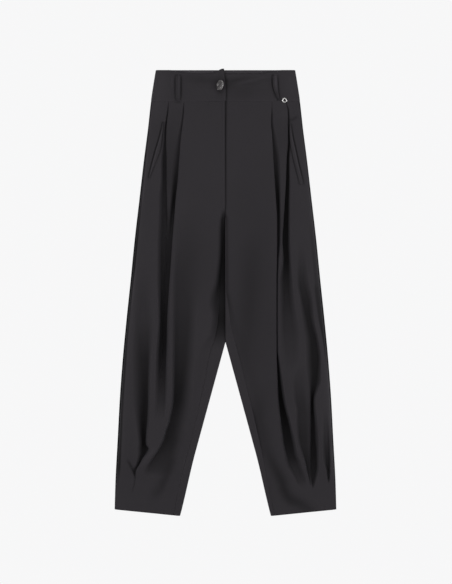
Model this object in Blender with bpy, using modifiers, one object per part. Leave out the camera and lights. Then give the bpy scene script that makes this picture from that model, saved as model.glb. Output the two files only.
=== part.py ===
# Pleated high-waist trousers laid out flat on their back, front upwards.
# World: metres, X across (the wearer's left is +X), Y along (waist at +Y), Z up from the surface they lie on.
# Sizes below are millimetres. A place on the garment is (out, down, height): out from the centre line, down from
# the waist edge, height above the surface. SIDES turns it into X, Y and Z.
import math

import bmesh
import bpy
from mathutils import Matrix, Vector
from mathutils.bvhtree import BVHTree

MM = 0.001
LENGTH = 1044.0  # waist edge to the lowest corner of the hem
SIDES = {"right": -1.0, "left": 1.0}  # the wearer's right and left
WALL = 1.2  # suiting cloth
BAND_WALL = 1.8  # two layers and stiffening
GAP = 0.3  # between pieces that are sewn together

BAND_TOP = 2.0
WAIST_SEAM = 72.0
CROTCH = 331.0
LEG_SPLIT = 637.0  # where the legs part
INNER_SLOPE = 0.2727  # how fast each inner leg edge moves out below the split
LEG_APART = 0.9  # the legs' inner walls, from the centre line while they touch
HEM_LEVEL = 1029.0  # the hem at the side seam
HEM_DROP = 15.0  # how much lower the hem is at the inner edge
HEM_IN, HEM_OUT = 111.0, 260.0

SIDE_SEAM_IN = 3.2  # the side seam shows on the front, this far from the edge
SIDE_ROLL = 26.0
BACK_LOOP_WALL = 1.4
BACK_BAND_HEIGHT = BACK_LOOP_WALL + GAP + BAND_WALL / 2
BAND_HEIGHT = 7.4
OVERLAP = 30.0  # the left waistband runs on under the right one
OVERLAP_LIFT = BAND_WALL + 2 * GAP

# half of the laid width at the side edge
OUTLINE = {
    "down": (0, 24, 70, 140, 210, 305, 400, 490, 585, 680, 775, 870, 963, 1029),
    "out": (163, 167, 174, 182, 191, 202, 213, 222, 232, 241, 248, 253, 258, 260),
}
# how high the front stands off the surface between its edges
CROWN = {
    "down": (72, 150, 230, 330, 450, 600, 760, 880, 930, 965, 1000, 1044),
    "height": (8.6, 9.2, 11, 14, 18, 20, 21, 20, 14, 8, 5, 4.2),
}
# the inner edge of each front: its height, how broad its rounding is, and how far the back wraps over it
INNER_EDGE = {
    "right": {
        "down": (72, 150, 230, 320, 345, 380, 540, 600, 645, 740, 890, 960, 1044),
        "height": (9.9, 10.5, 12.3, 15, 9, 4.6, 5, 8, 12, 13, 10, 6, 3.2),
        "round": (12, 12, 12, 12, 16, 20, 22, 26, 30, 30, 30, 24, 20),
        "wrap": (0, 0, 0, 0, 1.5, 4, 17, 24, 29, 23, 17, 18, 15),
    },
    "left": {
        "down": (72, 150, 230, 320, 345, 380, 540, 600, 645, 740, 890, 960, 1044),
        "height": (7.2, 7.8, 9.6, 12.3, 12.5, 13.5, 14.5, 14, 13, 12, 10, 6, 3.2),
        "round": (14, 14, 14, 14, 8, 8, 10, 18, 26, 30, 30, 24, 20),
        "wrap": (0, 0, 0, 0, 1.5, 4, 12, 17, 24, 21, 15, 11, 8),
    },
}

# Folds of the fronts, each a row for each section. From the inner edge outwards a section comes to the fold's
# edge, turns down to its root (further in than the edge where the cloth is pleated under itself), runs along its
# floor to the foot and climbs to the crest. depth is edge to floor, rim is how far the crest stays below.
FOLD_COLUMNS = ("down", "edge", "root", "foot", "crest", "depth", "rim")
FOLDS = {
    "right": {
        "shin": (
            (72, 52, 56, 62, 66, 0, 0),
            (500, 84, 98, 112, 120, 0, 0),
            (587, 84, 104, 113, 121, 3, 0),
            (700, 84, 107, 117, 122, 9, 0),
            (751, 86, 108, 118, 123, 15, 0),
            (810, 91, 116, 128, 130.5, 17, 0),
            (845, 96, 122, 137, 140, 16, 0),
            (869, 99, 129, 148, 151, 14, 0),
            (892, 108, 141, 156, 160, 11, 0),
            (910, 122, 155, 167, 171, 8, 0),
            (926, 141, 169, 179, 183, 5, 0),
            (950, 159, 180, 187, 191, 0, 0),
            (1044, 140, 150, 160, 168, 0, 0),
        ),
        "inner_pleat": (
            (72, 96, 80, 97, 101, 3.2, 1),
            (112, 99, 84, 101, 105, 3.4, 1),
            (176, 105, 93, 109, 126, 6, 1.2),
            (246, 110.5, 101, 119, 129, 10, 1.6),
            (305, 116, 109, 126, 131, 13, 3),
            (364, 122, 118, 128, 132, 15, 13),
            (440, 128, 127, 132, 135, 16, 16),
            (587, 134, 136, 139, 141, 18, 18),
            (704, 137.5, 140, 142, 144, 17, 17),
            (740, 138, 142, 144, 146, 10, 10),
            (775, 140, 143, 145, 147, 0, 0),
            (869, 157, 159, 161, 163, 0, 0),
            (892, 163.5, 165, 166, 167.5, 0, 0),
            (910, 174, 175, 176, 177.5, 0, 0),
            (926, 186, 187.5, 189, 190.5, 0, 0),
            (950, 194, 196, 198, 199.5, 0, 0),
            (1044, 172, 176, 180, 184, 0, 0),
        ),
        "outer_pleat": (
            (72, 132, 117, 133, 137, 4.2, 0),
            (112, 136, 122, 138, 142, 4.5, 0),
            (140, 139, 128, 141, 146, 5.5, 0),
            (176, 138.5, 129, 143, 149, 8, 0),
            (246, 137.5, 131, 145, 156, 12, 0),
            (305, 136, 133, 146, 158, 13, 0),
            (364, 135, 137, 148, 156, 15, 0),
            (440, 138, 141, 150, 156, 16, 0),
            (587, 144, 147, 151, 155, 18, 0),
            (704, 146, 149, 151, 155, 17, 0),
            (740, 148, 151, 153, 158, 10, 0),
            (775, 149, 152, 155, 160, 0, 0),
            (869, 166, 168, 170, 173, 0, 0),
            (888, 168.5, 170, 171, 172.5, 0, 0),
            (910, 179.5, 181, 182.5, 184, 0, 0),
            (926, 192, 194, 196, 198, 0, 0),
            (950, 201, 202.5, 204, 206, 0, 0),
            (1044, 188, 192, 196, 200, 0, 0),
        ),
        "calf": (
            (72, 150, 152, 154, 156, 0, 0),
            (330, 166, 172, 177, 184, 0, 0),
            (500, 174, 182, 188, 202, 0, 0),
            (646, 177, 181, 186, 203, 6, 0),
            (751, 178, 181, 187, 203, 13, 0),
            (810, 180, 182, 194, 206, 17, 0),
            (860, 183.5, 185.5, 195, 206, 17, 0),
            (876, 184.5, 186.5, 196, 206, 17, 0),
            (888, 176.5, 180, 196, 205, 15, 0),
            (903, 186, 188, 199, 206, 11, 0),
            (918, 196, 198, 202, 208, 7, 0),
            (930, 203, 205, 209, 217, 4.5, 0),
            (940, 208.5, 211, 214, 220, 5, 0),
            (955, 208, 210, 212, 216, 0, 0),
            (1044, 205, 210, 215, 220, 0, 0),
        ),
    },
    "left": {
        "inner_pleat": (
            (72, 107, 91, 108, 112, 3.2, 1),
            (112, 107, 92, 109, 114, 3.6, 1),
            (176, 110, 97, 113, 119, 7, 1.2),
            (246, 114, 103, 120, 125.5, 13, 1.6),
            (317, 118.5, 111, 124, 128, 15, 1.6),
            (387, 121, 117, 123.5, 127, 16, 1),
            (481, 118.5, 118, 120.5, 122.5, 15, 0.5),
            (657, 118.5, 118.5, 120.5, 122, 14, 0),
            (716, 121, 122, 126, 130, 17, 0),
            (787, 124.5, 126, 136, 141, 18, 0),
            (857, 134, 136, 151, 158, 18, 0),
            (892, 139, 141, 158, 167, 16, 0),
            (927, 145.5, 148, 166, 177, 11, 0),
            (963, 163, 165, 179, 187, 3.5, 0),
            (985, 172, 175, 184, 189, 0, 0),
            (1044, 160, 165, 170, 175, 0, 0),
        ),
        "outer_pleat": (
            (72, 143, 128, 144, 148, 4.2, 0),
            (112, 145.5, 132, 147, 151, 4.8, 0),
            (176, 146, 136, 149, 154, 8, 0),
            (246, 141, 135, 148, 155, 13, 0),
            (317, 138.5, 136, 147, 156, 15, 0),
            (387, 134, 137, 146, 156, 16, 0),
            (440, 134, 138, 147, 158, 14, 0),
            (552, 136, 142, 149, 164, 6, 0),
            (610, 136, 142, 148, 154, 0, 0),
            (716, 137, 140, 143, 146, 0, 0),
            (787, 146, 148, 150, 153, 0, 0),
            (857, 162, 164, 166, 168, 0, 0),
            (892, 169, 170.5, 172, 174, 0, 0),
            (927, 179, 180.5, 182, 183.5, 0, 0),
            (963, 188.5, 190, 191.5, 193, 0, 0),
            (1044, 178, 181, 184, 187, 0, 0),
        ),
        "shelf": (
            (72, 151, 152.5, 154, 155.5, 0, 0),
            (450, 160, 162, 166, 169, 0, 0),
            (610, 158, 162, 172, 178, 0, 0),
            (739, 152, 160, 184, 193, 0, 0),
            (775, 158, 165, 188, 194, 5, 5),
            (845, 170, 174, 189, 194, 7.5, 7.5),
            (888, 176, 180, 189, 194, 8, 8),
            (920, 184.5, 187, 191, 194, 7, 7),
            (945, 190, 191.5, 193, 195, 4, 4),
            (967, 195, 196.5, 198, 199.5, 0, 0),
            (1044, 190, 193, 196, 199, 0, 0),
        ),
        "shin": (
            (72, 157.5, 159, 160.5, 162, 0, 0),
            (400, 174, 178, 185, 192, 0, 0),
            (480, 173, 179, 186, 194, 5, 0),
            (575, 181, 187, 197, 205, 7, 0),
            (646, 197, 203, 211, 218, 8, 0),
            (700, 199, 205, 215, 224, 9, 0),
            (751, 199, 201, 209, 215, 12, 0),
            (787, 198, 199.5, 205, 209, 17, 0),
            (869, 198, 199.5, 210, 215, 17, 0),
            (935, 197, 199, 211, 217, 12, 0),
            (965, 201, 203, 207, 211, 5, 0),
            (982, 203, 205, 207, 209, 0, 0),
            (1044, 202, 206, 210, 214, 0, 0),
        ),
        "side": (
            (72, 164, 165.2, 166.4, 167.6, 0, 0),
            (400, 198, 200, 202, 204, 0, 0),
            (646, 223, 224.5, 226, 227.5, 0, 0),
            (787, 228, 231, 235, 240, 0, 0),
            (850, 229, 233, 240, 246, 7, 0),
            (905, 232, 236, 243, 248, 8, 0),
            (950, 237, 240, 243, 247, 4, 0),
            (970, 240, 242, 244, 246, 0, 0),
            (1044, 225, 230, 235, 240, 0, 0),
        ),
    },
}
STATIONS = (72.15, 112, 176, 246, 310, 328, 350, 395, 480, 560, LEG_SPLIT, 704, 760, 815, 866, 892, 915, 942, 970,
            HEM_LEVEL)

POCKETS = {  # slanted single welts, top end to bottom end
    "right": {"top": (147.5, 122), "bottom": (179, 254), "width": 8.5},
    "left": {"top": (154, 126), "bottom": (180, 268), "width": 8.5},
}
FRONT_LOOPS = {  # centre line of each loop; the left one is pushed outwards at its foot
    "right": {"down": (12, 32, 52, 71), "out": (111.5, 111.5, 111.5, 111.5)},
    "left": {"down": (12, 32, 52, 71), "out": (115.5, 115.5, 117, 122.5)},
}
LOOP = {"width": 11.5, "wall": 1.4, "stand": 1.6}
BACK_LOOPS = {"back_right": -104.0, "back_centre": 0.0, "back_left": 104.0}

BUTTON = {"across": -13.6, "down": 35.7, "radius": 13.0, "thick": 3.0, "tilt": 48.0, "lean": 8.0, "rim": 2.2,
          "dish": 0.8, "hole": 1.1, "pitch": 2.6}
RING = {"across": 138.5, "down": 71.0, "radius": 6.0, "hole": 2.6, "thick": 1.4}

COLOURS = {  # base colour, roughness, metallic
    "suiting": ((0.030, 0.028, 0.031), 0.75, 0.0),
    "horn": ((0.085, 0.080, 0.083), 0.35, 0.0),
    "steel": ((0.62, 0.61, 0.60), 0.25, 1.0),
}


# --- reading the tables -------------------------------------------------------------------------------------------

def smooth_between(xs, ys, x):
    """Value at x of a curve through the points (xs, ys) that never swings past them."""
    if x <= xs[0]:
        return ys[0]
    if x >= xs[-1]:
        return ys[-1]
    steps = [b - a for a, b in zip(xs, xs[1:])]
    slopes = [(b - a) / h for a, b, h in zip(ys, ys[1:], steps)]
    tangents = [slopes[0]]
    for before, after in zip(slopes, slopes[1:]):
        tangents.append(0.0 if before * after <= 0 else 2 * before * after / (before + after))
    tangents.append(slopes[-1])
    i = max(k for k in range(len(xs) - 1) if xs[k] <= x)
    h = steps[i]
    t = (x - xs[i]) / h
    return ((1 + 2 * t) * (1 - t) ** 2 * ys[i] + t * (1 - t) ** 2 * h * tangents[i]
            + t * t * (3 - 2 * t) * ys[i + 1] + t * t * (t - 1) * h * tangents[i + 1])


def read(table, column, down):
    return smooth_between(table["down"], table[column], down)


def read_fold(rows, down):
    downs = [row[0] for row in rows]
    return {name: smooth_between(downs, [row[k] for row in rows], down)
            for k, name in enumerate(FOLD_COLUMNS) if k > 0}


def ease(t):
    t = min(max(t, 0.0), 1.0)
    return t * t * (3 - 2 * t)


def quarter_round(t):
    t = min(max(t, 0.0), 1.0)
    return math.sqrt(1 - (1 - t) ** 2)


# --- the garment's outline ----------------------------------------------------------------------------------------

def side_edge(down):
    return read(OUTLINE, "out", down)


def leg_inner(down):
    return LEG_APART + max(0.0, (down - LEG_SPLIT) * INNER_SLOPE)


def place(side, out, down, height):
    """A garment place in world metres. The hem hangs lower towards the inner leg."""
    drop = HEM_DROP * ease((down - 900.0) / (HEM_LEVEL - 900.0))
    across = min(max((HEM_OUT - out) / (HEM_OUT - HEM_IN), 0.0), 1.0)
    return Vector((SIDES[side] * out, LENGTH / 2 - down - drop * across, height)) * MM


def back_height(down):
    """Middle of the back's cloth: flat on the surface, lifted at the top by the belt loops under the waistband."""
    return WALL / 2 + (BACK_BAND_HEIGHT - WALL / 2) * ease((150.0 - down) / (150.0 - WAIST_SEAM))


def front_inner(side, down):
    """The front's inner edge: overlapped down the fly, then the inseam, which lies on the front of the leg."""
    fly = 0.0 if side == "right" else -4.0
    seam = leg_inner(down) + read(INNER_EDGE[side], "wrap", down) + 1.5 * GAP
    return fly + (seam - fly) * ease((down - CROTCH + 24.0) / 24.0)


def front_outer(down):
    return side_edge(down) - SIDE_SEAM_IN


def lowest_fold(down):
    """Middle of the front's cloth where a fold's floor or the side seam lies on the back."""
    return back_height(down) + WALL + 2.5 * GAP


def front_height(side, down, out):
    """The front's height where it has no fold."""
    crown, seam = read(CROWN, "height", down), lowest_fold(down)
    edge = INNER_EDGE[side]
    low = read(edge, "height", down)
    inner = (low - crown) * (1 - ease((out - front_inner(side, down)) / read(edge, "round", down)))
    outer = (crown - seam) * quarter_round((front_outer(down) - out) / SIDE_ROLL)
    return seam + outer + inner


# --- sections -----------------------------------------------------------------------------------------------------

def fold_wall(edge, top, root, floor, steps, edge_room, root_room):
    """Section points from a fold's rolled edge down to its root; root < edge tucks the wall under."""
    depth = max(top - floor, 0.0)
    roll = max(0.8, min(depth / 4, 3.0) + 0.5 * max(root - edge, 0.0))
    roll, bend = max(min(roll, edge_room), 0.2), max(min(roll, root_room), 0.2)
    turn = math.atan2(depth, root - edge)
    for _ in range(8):
        reach = math.sin(min(turn, math.pi / 2)) - math.sin(turn)
        end = (edge - roll * reach, top - roll * (1 - math.cos(turn)))
        start = (root + bend * reach, floor + bend * (1 - math.cos(turn)))
        turn = 0.5 * turn + 0.5 * math.atan2(max(end[1] - start[1], 0.0), start[0] - end[0])
    reach = math.sin(min(turn, math.pi / 2))
    points = []
    for k in range(steps + 1):
        a = turn * k / steps
        points.append((edge + roll * (math.sin(a) - reach), top - roll * (1 - math.cos(a))))
    for k in range(steps + 1):
        a = turn * (1 - k / steps)
        points.append((root + bend * (reach - math.sin(a)), floor + bend * (1 - math.cos(a))))
    return points


def spread(points, least):
    """Points that fall together are set this far apart, because each column of the sheet runs its whole length."""
    out = [points[0]]
    for x, z in points[1:]:
        px, pz = out[-1]
        if math.hypot(x - px, z - pz) < least:
            x = px + least
        out.append((x, z))
    return out


def front_section(side, down):
    inner, outer = front_inner(side, down), front_outer(down)
    folds = [read_fold(rows, down) for rows in FOLDS[side].values()]
    near = min(read(INNER_EDGE[side], "round", down), (folds[0]["edge"] - inner) * 0.7)
    points = [(inner + near * t, front_height(side, down, inner + near * t)) for t in (0, 0.1, 0.4, 1)]
    lowest = lowest_fold(down)
    rim, last_crest = 0.0, points[-1][0]
    for fold, after in zip(folds, folds[1:] + [None]):
        room = 0.45 * (fold["edge"] - last_crest)
        far_room = 0.45 * ((after["edge"] if after else outer) - fold["crest"])
        floor_room = 0.45 * (fold["foot"] - fold["root"])
        top = max(front_height(side, down, fold["edge"]) - rim, lowest)
        crest = max(front_height(side, down, fold["crest"]) - fold["rim"], lowest)
        if fold["depth"] > 0.05:
            middle = (fold["edge"] + fold["crest"]) / 2
            floor = min(max(front_height(side, down, middle) - fold["depth"], lowest), top, crest)
            points += fold_wall(fold["edge"], top, fold["root"], floor, 2, room, floor_room)
            climb = fold_wall(-fold["crest"], crest, -fold["foot"], floor, 1, far_room, floor_room)
            points += [(-x, z) for x, z in reversed(climb)]
        else:
            for corner, count in (("edge", 3), ("root", 3), ("foot", 2), ("crest", 2)):
                points += [(fold[corner] + 0.5 * k, front_height(side, down, fold[corner])) for k in range(count)]
        rim, last_crest = fold["rim"], fold["crest"]
    start = max(outer - SIDE_ROLL, points[-1][0] + 1.5)
    points += [(outer - (outer - start) * t, front_height(side, down, outer - (outer - start) * t))
               for t in (1, 0.5, 0.2, 0.05, 0)]
    return spread(points, 0.45)


def back_section(side, down):
    """Flat on the surface from the side edge in, then up and over the inner leg to the inseam."""
    lift = back_height(down)
    inner = leg_inner(down)
    height = read(INNER_EDGE[side], "height", down)
    wrap = max(read(INNER_EDGE[side], "wrap", down) - 1.5 * GAP, 1.2)
    lean = min(wrap, 6.0)
    standing = [(inner + wrap, height), (inner + 0.35 * lean, lift + 0.9 * (height - lift)),
                (inner, (height + lift) / 2), (inner + 0.35 * lean, lift + 0.1 * (height - lift)),
                (inner + 6.0, lift)]
    seam = GAP / 2 + LEG_APART * ease((down - 240.0) / (CROTCH - 240.0))
    flat = [(seam + t, lift) for t in (0, 1.5, 3, 5, 8)]
    stood = ease((down - CROTCH) / 15.0)
    points = [(a + (c - a) * stood, b + (d - b) * stood) for (a, b), (c, d) in zip(flat, standing)]
    first, last = points[-1][0], side_edge(down)
    points += [(first + (last - first) * t, lift) for t in (0.15, 0.4, 0.7, 1)]
    return points


# --- making objects -----------------------------------------------------------------------------------------------

def material(name):
    colour, roughness, metallic = COLOURS[name]
    found = bpy.data.materials.get(name) or bpy.data.materials.new(name)
    found.use_nodes = True
    shader = found.node_tree.nodes["Principled BSDF"]
    shader.inputs["Base Color"].default_value = (*colour, 1)
    shader.inputs["Roughness"].default_value = roughness
    shader.inputs["Metallic"].default_value = metallic
    return found


def keep(name, mesh, finish):
    piece = bpy.data.objects.new(name, mesh)
    piece.data.materials.append(material(finish))
    bpy.data.collections["pleated_trousers"].objects.link(piece)
    return piece


def sheet(name, rows, wall, finish="suiting"):
    """A cloth wall on a grid of world points, one row for each section."""
    bm = bmesh.new()
    grid = [[bm.verts.new(point) for point in row] for row in rows]
    for above, below in zip(grid, grid[1:]):
        for a, b, c, d in zip(above, above[1:], below[1:], below):
            bm.faces.new((a, b, c, d))
    mesh = bpy.data.meshes.new(name)
    bm.to_mesh(mesh)
    bm.free()
    piece = keep(name, mesh, finish)
    solid = piece.modifiers.new("wall", "SOLIDIFY")
    solid.thickness = wall * MM
    solid.offset = 0
    solid.use_even_offset = True
    return piece


def surface_of(piece):
    """Looks down on a sheet's middle surface."""
    mesh = piece.data
    return BVHTree.FromPolygons([v.co for v in mesh.vertices], [list(p.vertices) for p in mesh.polygons])


def laid_on(surface, point, above):
    """The point moved to lie this far above a sheet's middle surface, square to it."""
    hit, normal, _, _ = surface.ray_cast(Vector((point.x, point.y, 1.0)), Vector((0, 0, -1)))
    return hit + Vector((0, 0, above * MM / max(abs(normal.z), 0.5)))


def build_front(side):
    rows = [[place(side, out, down, height) for out, height in front_section(side, down)]
            for down in STATIONS]
    return sheet(f"front_{side}", rows, WALL)


def build_back(side):
    rows = [[place(side, out, down, height) for out, height in back_section(side, down)]
            for down in STATIONS]
    return sheet(f"back_{side}", rows, WALL)


def build_back_waistband():
    columns = [t / 4 - 1 for t in range(9)]
    rows = []
    for down in (BAND_TOP, 25, 48, WAIST_SEAM - GAP / 2):
        rows.append([place("left", t * side_edge(down), down, BACK_BAND_HEIGHT) for t in columns])
    return sheet("waistband_back", rows, BAND_WALL)


def front_band_top(side, out):
    """The front's upper edge dips below the back's; the overlap's corner stands up again."""
    dip = BAND_TOP + 8.0 * ease((135.0 - out) / 60.0)
    return dip - 10.0 * ease((16.0 - out) / 15.0) if side == "right" else dip


def front_band_height(side, out):
    height = BAND_HEIGHT
    if side == "right":
        height += OVERLAP_LIFT * ease((OVERLAP + 26.0 - out) / 24.0)
    return height


def build_front_waistband(side):
    inner = 0.0 if side == "right" else -OVERLAP
    outs = (inner, inner + 8, inner + 16, 34, 56, 84, 112, 140)
    rows = []
    for level in (0, 0.15, 0.45, 0.75, 1):
        row = []
        for out in outs:
            top = front_band_top(side, out)
            row.append(place(side, out, top + (WAIST_SEAM - GAP / 2 - top) * level, front_band_height(side, out)))
        for t in (0.35, 0.1, 0):
            down = BAND_TOP + (WAIST_SEAM - GAP / 2 - BAND_TOP) * level
            edge = side_edge(down) - 1.5
            low = BACK_BAND_HEIGHT + BAND_WALL + GAP
            row.append(place(side, edge - 22 * t, down, low + (BAND_HEIGHT - low) * quarter_round(t * 2.4)))
        rows.append(row)
    return sheet(f"waistband_front_{side}", rows, BAND_WALL)


def build_pocket(side, front):
    """A welt folded along its opening and sewn down on the front."""
    pocket = POCKETS[side]
    surface = surface_of(front)
    rows = []
    for k in range(7):
        t = k / 6
        out = pocket["top"][0] + (pocket["bottom"][0] - pocket["top"][0]) * t
        down = pocket["top"][1] + (pocket["bottom"][1] - pocket["top"][1]) * t
        rows.append([laid_on(surface, place(side, out + across, down, 0), WALL + 3 * GAP)
                     for across in (-pocket["width"] / 2, 0, pocket["width"] / 2)])
    return sheet(f"pocket_welt_{side}", rows, WALL)


def build_front_loop(side, band):
    """Sewn down at both ends, standing a little off the waistband between them."""
    path = FRONT_LOOPS[side]
    surface = surface_of(band)
    ends = path["down"][0], path["down"][-1]
    rows = []
    for k in range(7):
        t = k / 6
        down = ends[0] + (ends[1] - ends[0]) * t
        out = read(path, "out", down)
        above = BAND_WALL / 2 + GAP + LOOP["wall"] / 2 + LOOP["stand"] * math.sin(math.pi * t)
        rows.append([laid_on(surface, place(side, out + across, down, 0), above)
                     for across in (-LOOP["width"] / 2, 0, LOOP["width"] / 2)])
    return sheet(f"belt_loop_front_{side}", rows, LOOP["wall"])


def build_back_loop(name, across):
    """Pressed flat between the waistband and the surface."""
    rows = [[place("left", across + t * LOOP["width"], down, BACK_LOOP_WALL / 2) for t in (-0.5, 0.5)]
            for down in (BAND_TOP + 2, 36, WAIST_SEAM - 2)]
    return sheet(f"belt_loop_{name}", rows, BACK_LOOP_WALL)


def disc(name, radius, thick, finish, steps):
    bm = bmesh.new()
    bmesh.ops.create_cone(bm, cap_ends=True, segments=steps, radius1=radius * MM, radius2=radius * MM,
                          depth=thick * MM)
    mesh = bpy.data.meshes.new(name)
    bm.to_mesh(mesh)
    bm.free()
    return keep(name, mesh, finish)


def cut(piece, tool):
    """Takes the tool's shape out of the piece; the tool stays as a hidden cutter."""
    tool.hide_render = True
    tool.display_type = "WIRE"
    bpy.data.collections["pleated_trousers"].objects.unlink(tool)
    bpy.data.collections["cutters"].objects.link(tool)
    boolean = piece.modifiers.new("cut", "BOOLEAN")
    boolean.operation = "DIFFERENCE"
    boolean.object = tool


def build_button():
    """Four-hole button standing on its lower rim, tipped by the pull of its shank."""
    tilt, lean = math.radians(BUTTON["tilt"]), math.radians(BUTTON["lean"])
    band_top = BAND_HEIGHT + OVERLAP_LIFT + BAND_WALL / 2
    rise = BUTTON["radius"] * math.sin(tilt) + BUTTON["thick"] / 2 * math.cos(tilt)
    centre = place("left", BUTTON["across"], BUTTON["down"], band_top + GAP + rise)
    turned = Matrix.Translation(centre) @ Matrix.Rotation(-lean, 4, "Z") @ Matrix.Rotation(-tilt, 4, "Y")
    button = disc("button", BUTTON["radius"], BUTTON["thick"], "horn", 40)
    button.matrix_world = turned
    well = disc("button_well", BUTTON["radius"] - BUTTON["rim"], BUTTON["thick"], "horn", 40)
    up = (BUTTON["thick"] - BUTTON["dish"]) * MM
    well.matrix_world = turned @ Matrix.Translation((0, 0, up))
    cut(button, well)
    for k in range(4):
        a = math.pi / 4 + math.pi / 2 * k
        hole = disc(f"button_hole_{k}", BUTTON["hole"], BUTTON["thick"] * 2, "horn", 12)
        spot = Matrix.Translation((BUTTON["pitch"] * MM * math.cos(a), BUTTON["pitch"] * MM * math.sin(a), 0))
        hole.matrix_world = turned @ spot
        cut(button, hole)
    return button


def build_ring():
    """Plain metal ring sewn to the foot of the left waistband."""
    ring = disc("metal_ring", RING["radius"], RING["thick"], "steel", 32)
    top = BAND_HEIGHT + BAND_WALL / 2 + GAP
    ring.location = place("left", RING["across"], RING["down"], top + RING["thick"] / 2)
    hole = disc("ring_hole", RING["hole"], RING["thick"] * 2, "steel", 20)
    hole.location = ring.location
    cut(ring, hole)
    return ring


def main():
    for old in list(bpy.data.objects):
        bpy.data.objects.remove(old)
    for name in ("pleated_trousers", "cutters"):
        group = bpy.data.collections.new(name)
        group.name = name
        bpy.context.scene.collection.children.link(group)
    build_back_waistband()
    for name, across in BACK_LOOPS.items():
        build_back_loop(name, across)
    for side in SIDES:
        build_back(side)
        front = build_front(side)
        build_pocket(side, front)
        band = build_front_waistband(side)
        build_front_loop(side, band)
    build_button()
    build_ring()
    bpy.context.view_layer.update()


main()
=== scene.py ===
import math

import bpy
import numpy as np
from mathutils import Matrix, Vector, noise
from mathutils.bvhtree import BVHTree


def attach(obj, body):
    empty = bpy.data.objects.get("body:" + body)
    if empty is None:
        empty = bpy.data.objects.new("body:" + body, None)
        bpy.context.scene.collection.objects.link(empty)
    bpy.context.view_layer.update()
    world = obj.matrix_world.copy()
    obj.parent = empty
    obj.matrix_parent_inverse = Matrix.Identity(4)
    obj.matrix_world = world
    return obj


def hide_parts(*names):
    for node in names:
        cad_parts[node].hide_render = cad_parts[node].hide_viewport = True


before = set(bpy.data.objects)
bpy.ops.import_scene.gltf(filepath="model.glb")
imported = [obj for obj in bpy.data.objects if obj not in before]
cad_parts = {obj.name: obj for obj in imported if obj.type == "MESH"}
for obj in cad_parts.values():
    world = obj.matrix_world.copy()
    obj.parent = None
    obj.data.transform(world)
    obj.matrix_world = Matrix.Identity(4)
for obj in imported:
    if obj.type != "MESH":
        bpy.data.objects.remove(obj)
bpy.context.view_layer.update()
print("frame loaded")

# Sizes are millimetres, but metres in the studio, the cuts and the suiting's thread and bump. A place on the
# garment is (out, down, height): out from the centre line, down from the waist edge, height above the floor.
# Sides are the wearer's.
mm = 0.001
garment = {"length": 1044.0, "hemLevel": 1029.0, "hemDrop": 15.0, "hemDropFrom": 900.0, "hemIn": 111.0,
           "hemOut": 260.0, "hemEase": 2.2, "hemEaseFrom": 880.0, "crotch": 331.0, "legSplit": 637.0,
           "innerSlope": 0.2727, "legApart": 0.2, "sideSeamIn": 3.2, "sideRoll": 26.0, "waistSeam": 72.0,
           "bandTop": 0.45, "bandRestTo": 150.0, "wall": 1.2, "bandWall": 1.8, "loopWall": 1.4, "gap": 0.3,
           "rowStep": 3.7}
sideSign = {"right": -1.0, "left": 1.0}
backBandHeight = garment["loopWall"] + garment["gap"] + garment["bandWall"] / 2
bandFoot = garment["waistSeam"] - garment["gap"] / 2  # the waist seam's upper and lower edge
legTop = garment["waistSeam"] + garment["gap"] / 2

studio = {"frameHigh": 1.3724, "centreX": 0.0012, "centreY": 0.0011, "distance": 6.0, "sensor": 36.0,
          "floor": (0.931, 0.931, 0.935), "floorSize": 14, "floorDrop": 0.0004, "world": 0.32,
          "sidePower": 36.0, "sideAngle": 55.0, "sideReach": 2.6, "sideSize": (0.9, 2.4),
          "topPower": 14.0, "topPlace": (0, 0.9, 2.6), "topAim": (0, 0.2, 0), "topSize": (1.6, 1.2)}

bpy.ops.object.select_all(action="DESELECT")
bpy.ops.object.camera_add(location=(studio["centreX"], studio["centreY"], studio["distance"]))
camera = bpy.context.object
camera.data.sensor_fit = "VERTICAL"
camera.data.sensor_height = studio["sensor"]
camera.data.lens = studio["sensor"] * studio["distance"] / studio["frameHigh"]
camera.data.dof.use_dof = False
bpy.context.scene.camera = camera


def softbox(name, place, aim, size, power):
    bpy.ops.object.light_add(type="AREA", location=place)
    lamp = bpy.context.object
    lamp.name = name
    lamp.rotation_euler = (Vector(aim) - Vector(place)).to_track_quat("-Z", "Y").to_euler()
    lamp.data.shape = "RECTANGLE"
    lamp.data.size, lamp.data.size_y = size
    lamp.data.energy = power


tilt = math.radians(studio["sideAngle"])
for sign in sideSign.values():
    place = (sign * studio["sideReach"] * math.sin(tilt), 0, studio["sideReach"] * math.cos(tilt))
    softbox("side_light", place, (0, 0, 0), studio["sideSize"], studio["sidePower"])
softbox("top_light", studio["topPlace"], studio["topAim"], studio["topSize"], studio["topPower"])

world = bpy.data.worlds.new("studio")
bpy.context.scene.world = world
world.use_nodes = True
world.node_tree.nodes["Background"].inputs["Color"].default_value = (1, 1, 1, 1)
world.node_tree.nodes["Background"].inputs["Strength"].default_value = studio["world"]
bpy.context.scene.view_settings.view_transform = "Standard"


def newPaint(name, values):  # a material whose shader has these values on its own sockets
    paint = bpy.data.materials.new(name)
    paint.use_nodes = True
    shader = paint.node_tree.nodes["Principled BSDF"]
    for socket, value in values.items():
        shader.inputs[socket].default_value = value
    return paint, paint.node_tree, shader


def wire(tree, node, wires):  # which output feeds which of the node's inputs
    for socket, source in wires.items():
        tree.links.new(source, node.inputs[socket])
    return node


def addNode(tree, kind, values={}, wires={}, **settings):
    node = tree.nodes.new("ShaderNode" + kind)
    for key, setting in settings.items():
        setattr(node, key, setting)
    for socket, value in values.items():
        node.inputs[socket].default_value = value
    return wire(tree, node, wires)


def addNoise(tree, where, scale, **values):
    values = {"Scale": scale, **{key.capitalize(): value for key, value in values.items()}}
    return addNode(tree, "TexNoise", values, {"Vector": where}).outputs["Fac"]


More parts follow.
